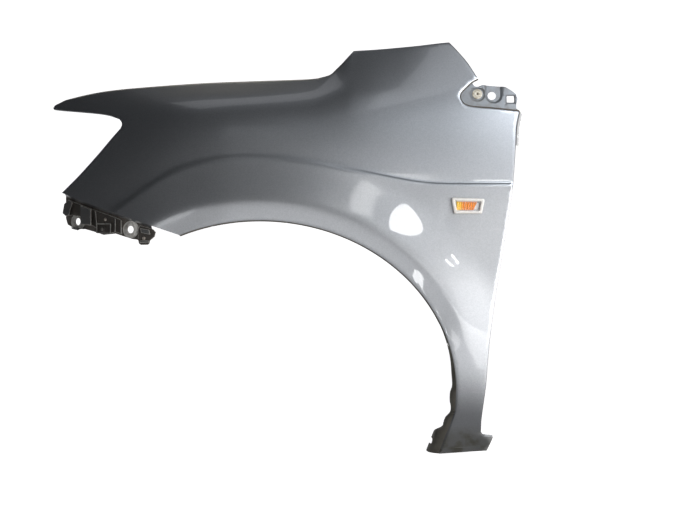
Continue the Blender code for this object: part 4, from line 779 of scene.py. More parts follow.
def paintMaterial():
    # Silver-grey metallic paint under clear coat, dirty at the tail and on the bumper flange. It darkens towards the
    # bottom as painted shade of the dark ground it mirrors, with some dirt film, and pointed edges at the tail take a
    # painted highlight
    looks = panelLooks
    material, tree, shader = newMaterial("panelPaint")
    place = addNode(tree, "TexCoord").outputs["Object"]
    split = addNode(tree, "SeparateXYZ", {"Vector": place}).outputs
    worn = wearNode(tree, 38.0)
    flakes = addNode(tree, "TexVoronoi", {"Vector": place, "Scale": 800.0})
    tone = addNode(tree, "SeparateColor", {"Color": flakes.outputs["Color"]}).outputs[0]
    sparkle = looks["flakeStrength"]
    bright = addNode(tree, "BrightContrast", {
        "Color": looks["paint"],
        "Bright": mathNode(tree, "MULTIPLY_ADD", tone, sparkle, -0.5 * sparkle)})

    def fade(axis, start, end):
        # Grows from 0 to 1 between two design heights or stations
        origin = seat.x if axis == "X" else seat.z
        return rampNode(tree, split[axis], (start - origin) / 1000, (end - origin) / 1000)

    def times(a, b):
        return mathNode(tree, "MULTIPLY", a, b)

    tail = fade("Z", -56, -84)
    patches = mathNode(tree, "MULTIPLY_ADD", worn["Grime"], looks["tailPatches"], looks["tailDirt"])
    tailCover = times(tail, patches)
    flangeCover = times(times(fade("Z", 300, 285), fade("X", -190, -200)), worn["Grime"])
    cover = mathNode(tree, "MAXIMUM", tailCover, flangeCover)
    # Painted shade: darker towards the bottom, for the dark ground the paint mirrors there, with some dirt film
    shadedLowAndFilmed = mixColour(tree, times(fade("Z", 58, -45), looks["lowShadeAndFilm"]), bright.outputs["Color"],
                       looks["lowShadeAndFilmColour"])
    coloured = mixColour(tree, cover, shadedLowAndFilmed, looks["dirt"])
    # Pale marks: real scratches, and a painted highlight on pointed edges at the tail
    scratchesAndHighlights = mathNode(tree, "MAXIMUM", times(worn["Scratches"], looks["scratches"]),
                     times(times(worn["Edges"], looks["tailEdgeHighlight"]), tail))
    clean = mathNode(tree, "SUBTRACT", 1.0, cover, clamp=True)
    feed(tree, shader, {
        "Base Color": mixColour(tree, scratchesAndHighlights, coloured, looks["scratchAndHighlightPale"]),
        "Metallic": times(clean, 0.85),
        "Roughness": mathNode(tree, "MULTIPLY_ADD", cover, 0.45, looks["paintRoughness"]),
        "Coat Weight": clean,
        "Coat Roughness": looks["coatRoughness"],
        "Coat IOR": 1.5,
    })
    return material


paint = paintMaterial()
underside = wornMaterial("panelUnderside", panelLooks["underside"], roughness=0.55, metallic=0.2,
                         dust=panelLooks["dirt"], amount=0.6, scale=25.0)
earMetal = wornMaterial("earMetal", panelLooks["earMetal"], roughness=0.4, dust=(0.30, 0.26, 0.21),
                        amount=0.5, scale=130.0, bump=0.1)
flangeSteel = wornMaterial("flangeSteel", panelLooks["bareSteel"], roughness=0.42, metallic=0.75,
                           dust=(0.07, 0.058, 0.048), amount=0.7, scale=60.0, bump=0.1)
sealer = wornMaterial("sealer", panelLooks["sealer"], roughness=0.6, dust=(0.05, 0.045, 0.04),
                      amount=0.7, scale=90.0, bump=0.1)
bracketPaint = wornMaterial("bracketPaint", panelLooks["bracket"], roughness=0.42, metallic=0.55,
                            dust=(0.2, 0.17, 0.14), amount=0.3, scale=120.0)
print("stage: materials")


def archPoint(angle, reach=0.0):
    return Vector(((archHalfWidth + reach) * math.cos(angle), (archHeight + reach) * math.sin(angle)))


def lowerPoint(x, drop=0.0):
    return Vector((x, curveValue(lowerEdge, x) - drop))


def archPoints(step):
    # The arch lip from the rear, over the top, to the front
    end = math.acos(archFront / archHalfWidth)
    start = math.asin(tailInsets[0][1] / archHeight) + 0.03
    count = round((end - start) * archHalfWidth / step)
    return [archPoint(start + (end - start) * k / count) for k in range(count + 1)]


def stations(limits, step):
    made = []
    for start, end in zip(limits, limits[1:]):
        count = max(1, round((end - start) / step))
        made += [start + (end - start) * k / count for k in range(count)]
    return made + [limits[-1]]


def bracketWall():
    notch = smoothLine(cowlNotch, 4.0)
    return notch, [p + d * 2.5 for p, d in zip(notch, outwardDirections(notch))]


def joggleLine(step):
    # The lower edge over the bumper flange, 4 mm further down
    first, last = bumperOutline[0][0], bumperOutline[-1][0]
    count = round((last - first) / step)
    return [lowerPoint(x, 4) for x in stations([first, last], (last - first) / count)]


def panelStretches():
    step = panelLooks["edgeStep"]
    limits = [hoodLine[0][0], -370]
    for padX, padZ in railPads:
        limits += [padX - padHalf, padX + padHalf]
    limits.append(101)
    notch, wall = bracketWall()
    tail = [(archHalfWidth - inset, z) for inset, z in tailInsets]
    arch = archPoints(step)
    flange = list(reversed(bumperOutline))
    rearEnd, frontEnd = lowerPoint(flange[0][0]), lowerPoint(flange[-1][0])
    return {
        "hood": [Vector((x, curveValue(hoodLine, x))) for x in stations(limits, step)],
        "step": smoothLine(cowlStep, step * 0.7),
        "sail": smoothLine(sailTop, step),
        "pillar": smoothLine(pillarEdge, step),
        "wallFront": [notch[0]] + wall[:4],
        "bracket": straightLine([wall[3]] + bracketOutline + [wall[-1]], 3.0),
        "wallRear": [wall[-1], notch[-1]],
        "doorTab": smoothLine(doorTabEdge, step),
        "door": smoothLine(doorEdge, step),
        "footEnd": straightLine(footEnd, step),
        "foot": straightLine([footEnd[-1], tail[-1]], step),
        "tail": smoothLine(list(reversed(tail)), step * 0.7),
        "arch": straightLine([tail[0], arch[0]], step)[:-1] + arch,
        "lowerRear": straightLine([arch[-1], lowerEdge[-1], rearEnd], step),
        "flange": straightLine([rearEnd] + flange + [frontEnd], 4.0),
        "lowerFront": straightLine([frontEnd, lowerEdge[0]], step),
        "lampEdge": smoothLine(lampEdge, step),
        "tip": smoothLine(tipEdge, step * 0.8),
    }


lampRim = [(-30, 15), (30, 12.8), (24.6, -14.4), (-25, -14.4)]
lampSpot = surfaceFrame(openDepth, *lampCentre)


def lampOutline(inset):
    return roundedOutline(insetCorners(lampRim, inset), max(3.5 - inset * 0.4, 1.2))


def windowRing(rim, radius):
    # The bracket's small window, widened by a rim
    halfX, halfZ = windowHalf[0] + rim, windowHalf[1] + rim
    corners = [(windowAt[0] + x * halfX, windowAt[1] + z * halfZ)
               for x, z in ((-1, 1), (1, 1), (1, -1), (-1, -1))]
    return roundedOutline(corners, radius, 4)


# Radii of the panel's holes, and lengths and widths of its slots
holeSizes = {
    "grommet": 5.2,
    "emboss": 7.3,
    "ear": 6.6,
    "lip": 4,
    "tab": 5,
    "padSlot": (14, 9),
    "footSlot": (30, 10),
}


def panelHoles():
    grommet, emboss, ear = (holeSizes[name] for name in ("grommet", "emboss", "ear"))
    lamp = [lampSpot @ Vector((p.x, p.y, 0)) for p in lampOutline(4.5)]
    holes = [[Vector((p.x, p.z)) for p in lamp], ringPoints(grommetAt, grommet, grommet, 24),
             ringPoints(embossHole, emboss, emboss, 32), windowRing(0, 2)]
    for earX, earZ in earHoles:
        holes.append(ringPoints((earX, earZ), ear / math.hypot(1, flangeSlope(earX)), ear, 32))
    return holes


def closedRing(points):
    return points + points[:1]


def featureLines():
    # Lines the triangles follow, so that creases and recesses stay crisp
    made = []
    for offset in (-9, -5, -2.2, -0.8, 0.8, 2.2, 5, 9):
        line = [Vector((x, curveValue(shoulderLine, x) + offset))
                for x in stations([-261 - offset, 442], 5)]
        made.append([p for p in line if p.y > curveValue(lowerEdge, p.x) + 3])
    for reach in (25, 29, 33, 37, 42):
        made.append([archPoint(math.radians(20 + k * 0.82), reach) for k in range(120)])
    for radius in (11, 12.8, 14.5):
        ring = closedRing(ringPoints(grommetAt, radius, radius, 36))
        made.append([p for p in ring if p.y < 541 or radius < 12])
    for radius in (12, 14, 15.9):
        ends = [Vector((embossAt[0] + side * radius, embossAt[1] + 13)) for side in (-1, 1)]
        made.append([ends[0]] + ringPoints(embossAt, radius, radius, 36, math.pi)[:19] + [ends[1]])
    made += [closedRing(windowRing(rim, 2.5)) for rim in (1.2, 2.5)]
    for hole in earHoles:
        made += [closedRing(ringPoints(hole, radius, radius, 32)) for radius in (10, 11.5, 13, 15.5)]
    return made


def alongHood(x, z):
    # The hood edge has a wider rounding
    return x < 95 and z > 470


def buildPanel():
    stretches = panelStretches()
    outline = []
    runs = {}
    for name, points in stretches.items():
        if outline and (outline[-1] - points[0]).length < 1e-4:
            points = points[1:]
            first = len(outline) - 1
        else:
            first = len(outline)
        outline += points
        runs[name] = (first, len(outline) - 1)
    if (outline[-1] - outline[0]).length < 1e-4:
        outline.pop()
    total = len(outline)
    notch, wall = bracketWall()
    joggle = joggleLine(4.0)
    lower = [lowerPoint(p.x) for p in joggle]
    bracketArea = Area(wall[3:] + [Vector(p) for p in reversed(bracketOutline)])
    flangeArea = Area(joggle + [Vector(p) for p in reversed(bumperOutline)])
    onSkin = notch + lower
    onBracket = wall + stretches["bracket"]
    onFlange = joggle + stretches["flange"][1:-1]

    # Rounded borders: two lines just inside the edge, and a depth that falls away towards it
    rounded = []
    for name in "hood step sail pillar doorTab door foot tail arch lampEdge tip".split():
        first, last = runs[name]
        rounded.append([outline[i % total] for i in range(first, last + 1)])
    rounded.append(notch)
    border = NearPoints([p for line in rounded for p in line], 8)
    insetLines = []
    for line in rounded:
        out = outwardDirections(line)
        for inset in (0.8, 2.0, 3.2) if alongHood(*line[0]) else (0.8, 2.0):
            insetLines.append([p - d * inset for p, d in zip(line, out)][1:-1])
    radius = panelLooks["edgeRound"]

    def depthOf(x, z):
        if isAmong(x, z, onSkin):
            return skinDepth(x, z) + (0.8 * radius if z > 400 else 0)
        if (340 < x < 470 and 490 < z < 560) and (isAmong(x, z, onBracket) or bracketArea.holds(x, z)):
            return bracketDepth(x, z)
        if (x < -185 and z < 360) and (isAmong(x, z, onFlange) or flangeArea.holds(x, z)):
            return flangeDepth(x, z)
        wide = 2.0 if alongHood(x, z) else 1.0
        near = border.distance(x, z, 2.0 * wide)
        return skinDepth(x, z) + radius * wide * (1 - near / (2.0 * wide)) ** 2.2

    lines = featureLines() + insetLines + [notch, wall[3:], joggle, lower]
    for drop in (8, 16, 26):
        lines.append([p - Vector((0, drop)) for p in joggle if -360 < p.x < -250])
    shape, edgeVerts = fillSheet(outline, lines, panelHoles(), panelLooks["grid"], depthOf)
    print("stage: skin surface", len(shape.faces))

    def run(name, skipStart=0, skipEnd=0):
        first, last = runs[name]
        edge = [edgeVerts[i % total] for i in range(first + skipStart, last + 1 - skipEnd)]
        return edge, outwardDirections([Vector((v.co.x, v.co.z)) for v in edge])

    def railRow(drop, inboard):
        return lambda p, d: Vector((p.x, p.y + 3 * min(1, drop * 1.4) + inboard,
                                    p.z + (railHeight(p.x) - p.z) * drop))

    def lipRow(share, reachShare):
        def row(p, d):
            tab = 1 - blend(p.z, -76, -62)
            inboard = lipDepth + (tabDepth - lipDepth) * tab
            reach = lipReach(p.x, p.z) * (1 - tab) + tabReach * tab
            side = Vector((-1, 0, 0)) if p.z < 120 and p.x > 0 else Vector((d.x, 0, d.y))
            return p + side * reach * reachShare + Vector((0, inboard * share, 0))
        return row

    edge, out = run("hood")
    onRail = [i for i, v in enumerate(edge) if v.co.x > -370.001]
    rows = [railRow(*row) for row in ((0.06, 0), (0.5, 0), (0.93, 0), (1, 0.8), (1, 9), (1, 18),
                                      (1, 27))]
    addFlange(shape, [edge[i] for i in onRail], rows, [out[i] for i in onRail])
    plainRows = inboardRows(13, -1, 4)
    tabRows = [turned(*row) for row in ((4.8, 1.6), (9.6, 3.15), (16, 4.9), (24, 7.1), (31, 9))]
    lipRows = [lipRow(*row) for row in ((0.06, 0.12), (0.2, 0.5), (0.45, 0.85), (0.75, 0.95), (1, 1))]
    for name, rows, dirtyFrom, skips in (
            ("step", plainRows, 99, ()), ("sail", plainRows, 99, ()), ("pillar", plainRows, 99, ()),
            ("doorTab", tabRows, 99, ()), ("door", inboardRows(12, 0.5, 3), 99, ()),
            ("tail", lipRows, 1, ()), ("arch", lipRows, 1, ()),
            ("lampEdge", inboardRows(12, -1, 3), 99, (4, 1)),
            ("foot", inboardRows(12, 1, 3), 99, (1, 1))):
        edge, out = run(name, *skips)
        addFlange(shape, edge, rows, out, dirtyFrom)
    for vert in [v for v in shape.verts if not v.link_faces]:
        shape.verts.remove(vert)
    shape.normal_update()
    for face in shape.faces:
        middle = face.calc_center_median()
        atNotch = 345 < middle.x < 462 and 490 < middle.z < 562
        if atNotch and bracketArea.holds(middle.x, middle.z):
            face.material_index = bracketSlot
        # Wall faces at the notch take sealer along their lower run, and above z 512 the dark underside material as
        # painted shade in the groove
        elif atNotch and face.normal.y > -0.75 and middle.y - skinDepth(middle.x, middle.z) > 1.6:
            face.material_index = sealerSlot if middle.z < 512 else undersideSlot
        elif middle.x < -185 and middle.z < 350 and flangeArea.holds(middle.x, middle.z):
            around = min(math.hypot(middle.x - x, middle.z - z) for x, z in earHoles)
            face.material_index = earSlot if around < 15.5 else flangeSlot
    materials = [paint, underside, underside, bracketPaint, bracketPaint, flangeSteel, underside,
                 sealer, sealer, earMetal, underside]
    panel = addPiece("fenderPanel", shape, ["fender_panel"], "panel_paint", materials)
    thick = panel.modifiers.new("sheet", "SOLIDIFY")
    thick.thickness = panelLooks["sheet"] / 1000
    thick.offset = -1
    thick.use_even_offset = True
    thick.use_quality_normals = True
    thick.material_offset = 1
    bakePiece(panel, panelCutters())
    return panel


def cylinderShape(radius, depth, segments):
    shape = bmesh.new()
    bmesh.ops.create_cone(shape, cap_ends=True, segments=segments, radius1=radius, radius2=radius,
                          depth=depth)
    return shape


def extruded(shape, faces, move):
    # Extrudes faces into a closed solid and returns its moved vertices
    made = bmesh.ops.extrude_face_region(shape, geom=faces)
    moved = [item for item in made["geom"] if isinstance(item, bmesh.types.BMVert)]
    bmesh.ops.translate(shape, verts=moved, vec=move)
    bmesh.ops.recalc_face_normals(shape, faces=shape.faces)
    return moved


def slotShape(length, width, depth):
    half = (length - width) / 2
    outline = []
    for side in (1, -1):
        for k in range(9):
            a = math.pi * k / 8 - math.pi / 2 * side
            outline.append((side * half + width / 2 * math.cos(a), width / 2 * math.sin(a)))
    shape = bmesh.new()
    base = shape.faces.new([shape.verts.new((x, y, -depth / 2)) for x, y in outline])
    extruded(shape, [base], (0, 0, depth))
    return shape


def drill(radius, depth, segments, point, along):
    turn = Vector(along).to_track_quat("Z", "Y").to_matrix().to_4x4()
    return placed(cylinderShape(radius, depth, segments), Matrix.Translation(point) @ turn)


def flangeDrills(holes, depth):
    return [placed(cylinderShape(radius, depth, 24), surfaceFrame(flangeDepth, *point))
            for point, radius in holes]


def panelCutters():
    made = []
    for padX, padZ in railPads:
        outer = skinDepth(padX, curveValue(hoodLine, padX)) + panelLooks["edgeRound"] + 3
        spot = Matrix.Translation((padX, outer + 13.5, padZ))
        made.append(placed(slotShape(*holeSizes["padSlot"], 8), spot))
    for degrees in (104, 82, 60, 38, 16):
        a = math.radians(degrees)
        x, z = archPoint(a)
        middle = (x, skinDepth(x, z) + 0.6 * lipDepth, z)
        made.append(drill(holeSizes["lip"], 18, 20, middle, (math.cos(a), 0, math.sin(a))))
    tabZ = doorTabEdge[1][1] - 15
    tabX = curveValue([(z, x) for x, z in reversed(doorTabEdge)], tabZ)
    tabY = skinDepth(tabX, tabZ) + panelLooks["edgeRound"] + 20.3
    made.append(drill(holeSizes["tab"], 14, 28, (tabX + 6, tabY, tabZ), (1, 0, 0)))
    footZ = tailInsets[3][1] - 1
    lipX = curveValue([(z, archHalfWidth - inset) for inset, z in reversed(tailInsets)], footZ)
    along = Vector((tabReach, -tabDepth, 0)).normalized()
    turn = Matrix((along, Vector((0, 0, 1)), Vector((along.y, -along.x, 0)))).transposed().to_4x4()
    spot = Matrix.Translation((lipX - tabReach, skinDepth(lipX, footZ) + tabDepth, footZ))
    made.append(placed(slotShape(*holeSizes["footSlot"], 14), spot @ turn))
    drilled = [(rivets[0], rivetHole), (rivets[1], rivetHole), (pushClipAt, clipHole)]
    return made + flangeDrills(drilled, 16)


buildPanel()
print("stage: panel")


# Values a user may change: the bumper guides and their clip
guideLooks = {
    "plastic": (0.078, 0.070, 0.062),
    # Lighter plastic for the tall blocks' tops: painted light on faces turned to the lamps
    "face": (0.115, 0.118, 0.120),
    # Near-white painted highlight on the slabs' rounded rims
    "edge": (0.80, 0.78, 0.73),
    # Pale edges: painted highlight along pointed edges, partly rubbed wear
    "rubAndHighlight": (0.34, 0.33, 0.31),
    "roughness": 0.42,
    "dust": (0.16, 0.14, 0.12),
    "dustAmount": 0.35,
    "clip": (0.07, 0.065, 0.06),
    "pin": (0.26, 0.25, 0.23),
}

guideOutline = [
    (-361, 343), (-370, 336), (-373.5, 318), (-367, 312.5), (-353, 314), (-334, 311), (-333, 296),
    (-310, 294), (-302, 290), (-301, 280), (-270, 279.5), (-262, 282), (-249, 278), (-249, 301),
    (-251, 303.5), (-262, 308), (-301, 321), (-345, 336.5)
]
guideBlocks = [
    ([(-360, 342), (-369.5, 335), (-373, 318), (-367, 313), (-359, 314), (-351, 338)], 9),
    ([(-332.5, 331), (-310.5, 323), (-310.5, 295), (-332.5, 297)], 13),
    ([(-304, 320), (-302, 320), (-299.5, 296), (-301.5, 296)], 6),
    ([(-301, 296), (-299, 296), (-299, 280.5), (-301, 280.5)], 7),
    ([(-272.5, 296), (-270.5, 296), (-270.5, 280.5), (-272.5, 280.5)], 7),
    ([(-300.5, 298), (-271, 298), (-271, 296), (-300.5, 296)], 5),
    ([(-263, 306), (-261, 306), (-261, 283), (-263, 283)], 6),
    ([(-251.5, 302), (-249.5, 302), (-249.5, 280), (-251.5, 280)], 4),
]
endOutline = [
    (-217, 287), (-214, 293), (-199, 289.5), (-189, 286), (-184, 281), (-186, 273), (-195, 266),
    (-196, 261), (-199, 258.5), (-212, 258.5), (-216, 261), (-217.5, 268)
]
endBlocks = [
    ([(-213, 288), (-196, 285), (-194, 277), (-199, 277.5), (-211, 280)], 6),
    ([(-214, 266), (-197, 266), (-197, 262), (-214, 262)], 5),
]


def mouldedSlab(outline, lowEnd, highEnd, bevel, tone=0):
    # A slab that follows the bumper flange, its outer rim rounded
    points = straightLine(outline + outline[:1], 4.0)[:-1]
    shape, _ = fillSheet(points, [], [], 4.5, lambda x, z: flangeDepth(x, z) - lowEnd)
    top = set(extruded(shape, list(shape.faces), (0, lowEnd - highEnd, 0)))
    rim = [e for e in shape.edges if len(e.link_faces) == 2 and e.calc_face_angle() > 1.0
           and all(v in top for v in e.verts)]
    # The top cap takes the slot given as tone, which for the blocks is a lighter plastic painted as light
    for face in shape.faces:
        if all(v in top for v in face.verts):
            face.material_index = tone
    rounded = bmesh.ops.bevel(shape, geom=rim, offset=bevel, segments=2, affect="EDGES", profile=0.6)
    # The rounded rims take slot 1, a near-white painted highlight
    for face in rounded["faces"]:
        face.material_index = 1
    return shape


def joinShapes(shapes):
    whole = shapes[0]
    for shape in shapes[1:]:
        spare = bpy.data.meshes.new("spare")
        shape.to_mesh(spare)
        shape.free()
        whole.from_mesh(spare)
        bpy.data.meshes.remove(spare)
    return whole


guidePlastic = wornMaterial("guidePlastic", guideLooks["plastic"],
                            roughness=guideLooks["roughness"], dust=guideLooks["dust"],
                            amount=guideLooks["dustAmount"], scale=70.0, bump=0.15,
                            rubAndHighlight=guideLooks["rubAndHighlight"])
# Painted highlight for the rounded rims, with dust
guideRimHighlight = wornMaterial("guideRimHighlight", guideLooks["edge"], roughness=0.35, dust=guideLooks["dust"],
                         amount=0.6, scale=160.0, bump=0.1)
# Lighter copy of the plastic for the blocks' tops: painted light
guideLitTop = wornMaterial("guideLitTop", guideLooks["face"], roughness=guideLooks["roughness"],
                         dust=guideLooks["dust"], amount=0.2, scale=90.0, bump=0.15,
                         rubAndHighlight=guideLooks["rubAndHighlight"])


def buildGuide(name, node, outline, blocks, wall, holes):
    low = guideGap + 0.15
    parts = [mouldedSlab(outline, low, low + wall, 0.6)]
    # The tall blocks' tops take slot 2, the lighter plastic painted as light on faces turned to the lamps
    parts += [mouldedSlab(corners, low + 1, low + 1 + height, 0.6, 2) for corners, height in blocks]
    piece = addPiece(name, joinShapes(parts), [node], "guide_plastic",
                     [guidePlastic, guideRimHighlight, guideLitTop])
    bakePiece(piece, flangeDrills(holes, 30), True)


buildGuide("bumperGuide", "bumper_guide", guideOutline, guideBlocks, guideWalls[0],
           [(rivets[0], rivetHole), (pushClipAt, clipHole)])
buildGuide("bumperGuideEnd", "bumper_guide_end", endOutline, endBlocks, guideWalls[1],
           [(rivets[1], rivetHole)])
print("stage: guides")


def turnedShape(profile, steps):
    # A solid of revolution about Z from a closed or axis-to-axis profile in mm
    shape = bmesh.new()
    verts = [shape.verts.new((r, 0, z)) for r, z in profile]
    edges = [shape.edges.new(pair) for pair in zip(verts, verts[1:])]
    bmesh.ops.spin(shape, geom=verts + edges, cent=(0, 0, 0), axis=(0, 0, 1), angle=2 * math.pi,
                   steps=steps)
    bmesh.ops.remove_doubles(shape, verts=shape.verts, dist=1e-3)
    bmesh.ops.recalc_face_normals(shape, faces=shape.faces)
    return shape


def standing(point, height):
    return height / math.hypot(1, flangeSlope(point[0]))


# Values a user may change: the rivets
rivetLooks = {"metal": (0.55, 0.50, 0.45), "roughness": 0.35, "dust": (0.2, 0.17, 0.13)}
rivetMetal = wornMaterial("rivetMetal", rivetLooks["metal"], roughness=rivetLooks["roughness"],
                          metallic=1.0, dust=rivetLooks["dust"], amount=0.4, scale=300.0)

for name, node, point, wall in (("guideRivetFront", "guide_rivet_front", rivets[0], guideWalls[0]),
                                ("guideRivetRear", "guide_rivet_rear", rivets[1], guideWalls[1])):
    low = standing(point, guideGap + 0.15 + wall) + guideGap
    profile = [(1, low + 0.6), (1.4, low + 1.1), (2.3, low + 1.1), (3.0, low + 0.8), (3.4, low + 0.3),
               (3.4, low), (2.1, low), (2.1, -1.1), (2.9, -1.1), (2.9, -4.1), (2.1, -5.1), (1, -5.1),
               (1, low + 0.6)]
    shape = placed(turnedShape(profile, 28), surfaceFrame(flangeDepth, *point))
    addPiece(name, shape, [node], "rivet_metal", [rivetMetal])


def buildPushClip():
    dust = guideLooks["dust"]
    clip = wornMaterial("clipPlastic", guideLooks["clip"], roughness=0.4, dust=dust, amount=0.2,
                        scale=200.0, bump=0.1)
    base = standing(pushClipAt, guideGap + 0.15 + guideWalls[0]) + guideGap
    top = base + 1.6
    profile = [(2.2, top), (5.8, top), (6.5, top - 0.2), (6.8, top - 0.6), (6.8, base), (3.6, base),
               (3.6, -1.1), (4.5, -2.4), (3.0, -11), (2.2, -11), (2.2, top)]
    pin = wornMaterial("pinPlastic", guideLooks["pin"], roughness=0.4, dust=dust, amount=0.3,
                       scale=200.0, bump=0.1)
    low = top + guideGap
    pinProfile = [(0, low + 1.3), (2.4, low + 1.3), (2.9, low + 0.9), (2.9, low), (1.9, low), (1.9, -9),
                  (0.5, -11), (0, -11)]
    spot = surfaceFrame(flangeDepth, *pushClipAt)
    for name, node, outline, steps, material in (
            ("guidePushClip", "guide_push_clip", profile, 40, clip),
            ("guidePushPin", "guide_push_pin", pinProfile, 28, pin)):
        addPiece(name, placed(turnedShape(outline, steps), spot), [node], "clip_plastic", [material])


buildPushClip()


# Values a user may change: the grommet
grommetLooks = {"nylon": (0.72, 0.68, 0.58), "roughness": 0.45, "stain": (0.28, 0.20, 0.11)}


def buildGrommet():
    nylon = wornMaterial("grommetNylon", grommetLooks["nylon"], roughness=grommetLooks["roughness"],
                         dust=grommetLooks["stain"], amount=0.7, scale=160.0)
    profile = [(1.7, 1.9), (2.4, 3.0), (3.2, 3.3), (5.2, 3.3), (6.0, 2.9), (6.6, 2.3), (8.4, 2.1),
               (9, 1.6), (9, 0.3), (4.7, 0.3), (4.7, -1.1), (5.5, -1.9), (3.5, -12.1), (1.7, -12.1),
               (1.7, 1.9)]
    shape = placed(turnedShape(profile, 44), surfaceFrame(bracketDepth, *grommetAt))
    addPiece("cowlGrommet", shape, ["cowl_grommet"], "grommet_nylon", [nylon])


buildGrommet()
print("stage: fasteners")


# Values a user may change: the side lamp
lampLooks = {
    "rim": (0.80, 0.775, 0.74),
    "amber": (0.98, 0.29, 0.0),
    "yellow": (1.0, 0.60, 0.02),
    # Near-white reflector: its mirror brightness painted as matt colour
    "reflectorSheen": (0.98, 0.98, 0.98),
    # Painted shade in the amber's rib bands
    "band": (0.42, 0.12, 0.0),
    "lensTint": (0.93, 0.93, 0.92),
    "lensAlpha": 0.02,
}


def loftShape(sections, capFirst=True, closed=False):
    # A shell through inset copies of the lamp outline at given heights
    shape = bmesh.new()
    rows = [[shape.verts.new((p.x, p.y, height)) for p in lampOutline(inset)]
            for inset, height in sections]
    for a, b in list(zip(rows, rows[1:])) + ([(rows[-1], rows[0])] if closed else []):
        for i in range(len(a)):
            j = (i + 1) % len(a)
            shape.faces.new((a[i], a[j], b[j], b[i]))
    if capFirst and not closed:
        shape.faces.new(rows[0])
    if not closed:
        shape.faces.new(rows[-1])
    bmesh.ops.recalc_face_normals(shape, faces=shape.faces)
    return shape


def amberMaterial():
    # Amber with painted shade in darker bands where its ribs turn away, and yellow at its front end
    material, tree, shader = newMaterial("filterAmber")
    place = addNode(tree, "TexCoord").outputs["Object"]
    x = addNode(tree, "SeparateXYZ", {"Vector": place}).outputs["X"]
    centreX = (lampCentre[0] - seat.x) / 1000
    side = rampNode(tree, x, centreX - 0.016, centreX - 0.007, 1.0, 0.0)
    # Painted shade in bands across the ribs
    ribs = mathNode(tree, "SINE", mathNode(tree, "MULTIPLY", x, 1350.0))
    bands = rampNode(tree, ribs, 0.1, 0.95, 0.0, 0.75)
    warm = mixColour(tree, bands, lampLooks["amber"], lampLooks["band"])
    feed(tree, shader, {"Base Color": mixColour(tree, side, warm, lampLooks["yellow"]),
                        "Roughness": 0.25, "Coat Weight": 0.2})
    return material


def filterShape():
    # A sheet of upright ribs, slanted at its rear end
    columns, rows, ribs = 96, 6, 9
    lowY, highY = -7.8, 8.4
    corners = insetCorners(lampRim, 8.2)
    left = min(c.x for c in corners)
    width = 0.92 * (max(c.x for c in corners) - left)
    shape = bmesh.new()
    grid = []
    for i in range(columns + 1):
        t = i / columns
        wave = 0.9 * abs(math.sin(t * math.pi * ribs)) ** 0.7
        line = []
        for j in range(rows + 1):
            s = j / rows
            crown = 0.5 * (1 - (2 * s - 1) ** 2)
            x = left + 0.4 + width * t * (0.80 + 0.20 * s)
            line.append(shape.verts.new((x, lowY + (highY - lowY) * s, 3.0 + wave + crown)))
        grid.append(line)
    for i in range(columns):
        for j in range(rows):
            shape.faces.new((grid[i][j], grid[i + 1][j], grid[i + 1][j + 1], grid[i][j + 1]))
    return shape


def addLampPiece(name, shape, nodes, slotName, material):
    return addPiece(name, placed(shape, lampSpot), nodes, slotName, [material])


def buildLamp():
    floor, top = 3.7, 8.7
    rim = wornMaterial("lensRim", lampLooks["rim"], roughness=0.22, dust=(0.45, 0.38, 0.30),
                       amount=0.3, scale=200.0)
    rim.node_tree.nodes["Principled BSDF"].inputs["Coat Weight"].default_value = 1.0
    sections = [(0, floor), (0.15, top - 2.2), (0.6, top - 1.0), (1.5, top - 0.25), (2.6, top),
                (4.6, top), (5.3, top - 0.3), (5.8, top - 1.2), (5.8, floor + 1.5),
                (1.8, floor + 1.5), (1.8, floor)]
    addLampPiece("lensRim", loftShape(sections, closed=True), ["repeater_lens"], "lens_clear", rim)
    window = [(6.0, floor + 2.0), (6.0, top - 0.9), (7.5, top - 0.6), (10, top - 0.35),
              (11.5, top - 0.3), (11.5, floor + 3.0), (6.4, floor + 2.0)]
    clear = glassMaterial("lensClear", lampLooks["lensTint"], lampLooks["lensAlpha"])
    addLampPiece("lensWindow", loftShape(window), [], "lens_clear", clear)
    # The silvered reflector is drawn as matt near-white, not as a mirror: its bright reflection painted as colour
    reflectorSheen = wornMaterial("reflectorWhiteSheen", lampLooks["reflectorSheen"], roughness=0.3,
                          dust=(0.7, 0.69, 0.66), amount=0.15, scale=120.0)
    tray = loftShape([(6.1, 4.8), (6.6, 4.8), (7.4, 2.4), (9.6, 2.0)], capFirst=False)
    addLampPiece("lampReflector", tray, [], "housing_plastic", reflectorSheen)
    lampFilter = addLampPiece("lampFilter", filterShape(), ["repeater_filter"], "filter_amber",
                              amberMaterial())
    thick = lampFilter.modifiers.new("wall", "SOLIDIFY")
    thick.thickness = 0.0008
    thick.offset = -1
    bakePiece(lampFilter)
    housing = [(7.5, -21), (6, -7), (6, 1.8), (1.5, 1.8), (1.5, 3.4), (7.6, 3.4), (7.6, -7),
               (9.1, -19.4)]
    black = wornMaterial("housingPlastic", (0.03, 0.03, 0.03), roughness=0.5,
                         dust=(0.15, 0.13, 0.1), amount=0.3, scale=80.0)
    addLampPiece("lampHousing", loftShape(housing), ["repeater_housing"], "housing_plastic", black)
    collar = placed(cylinderShape(8.4, 6, 40), Matrix.Translation((-7, -0.3, -24)))
    addLampPiece("lampCollar", collar, [], "housing_plastic", black)
    foam = wornMaterial("sealRubber", (0.03, 0.03, 0.03), roughness=0.85)
    ring = loftShape([(1.5, 0.3), (1.5, 1.5), (4.5, 1.5), (4.5, 0.3)], closed=True)
    addLampPiece("lampGasket", ring, ["repeater_gasket"], "seal_rubber", foam)
    return foam


foamRubber = buildLamp()
print("stage: lamp")

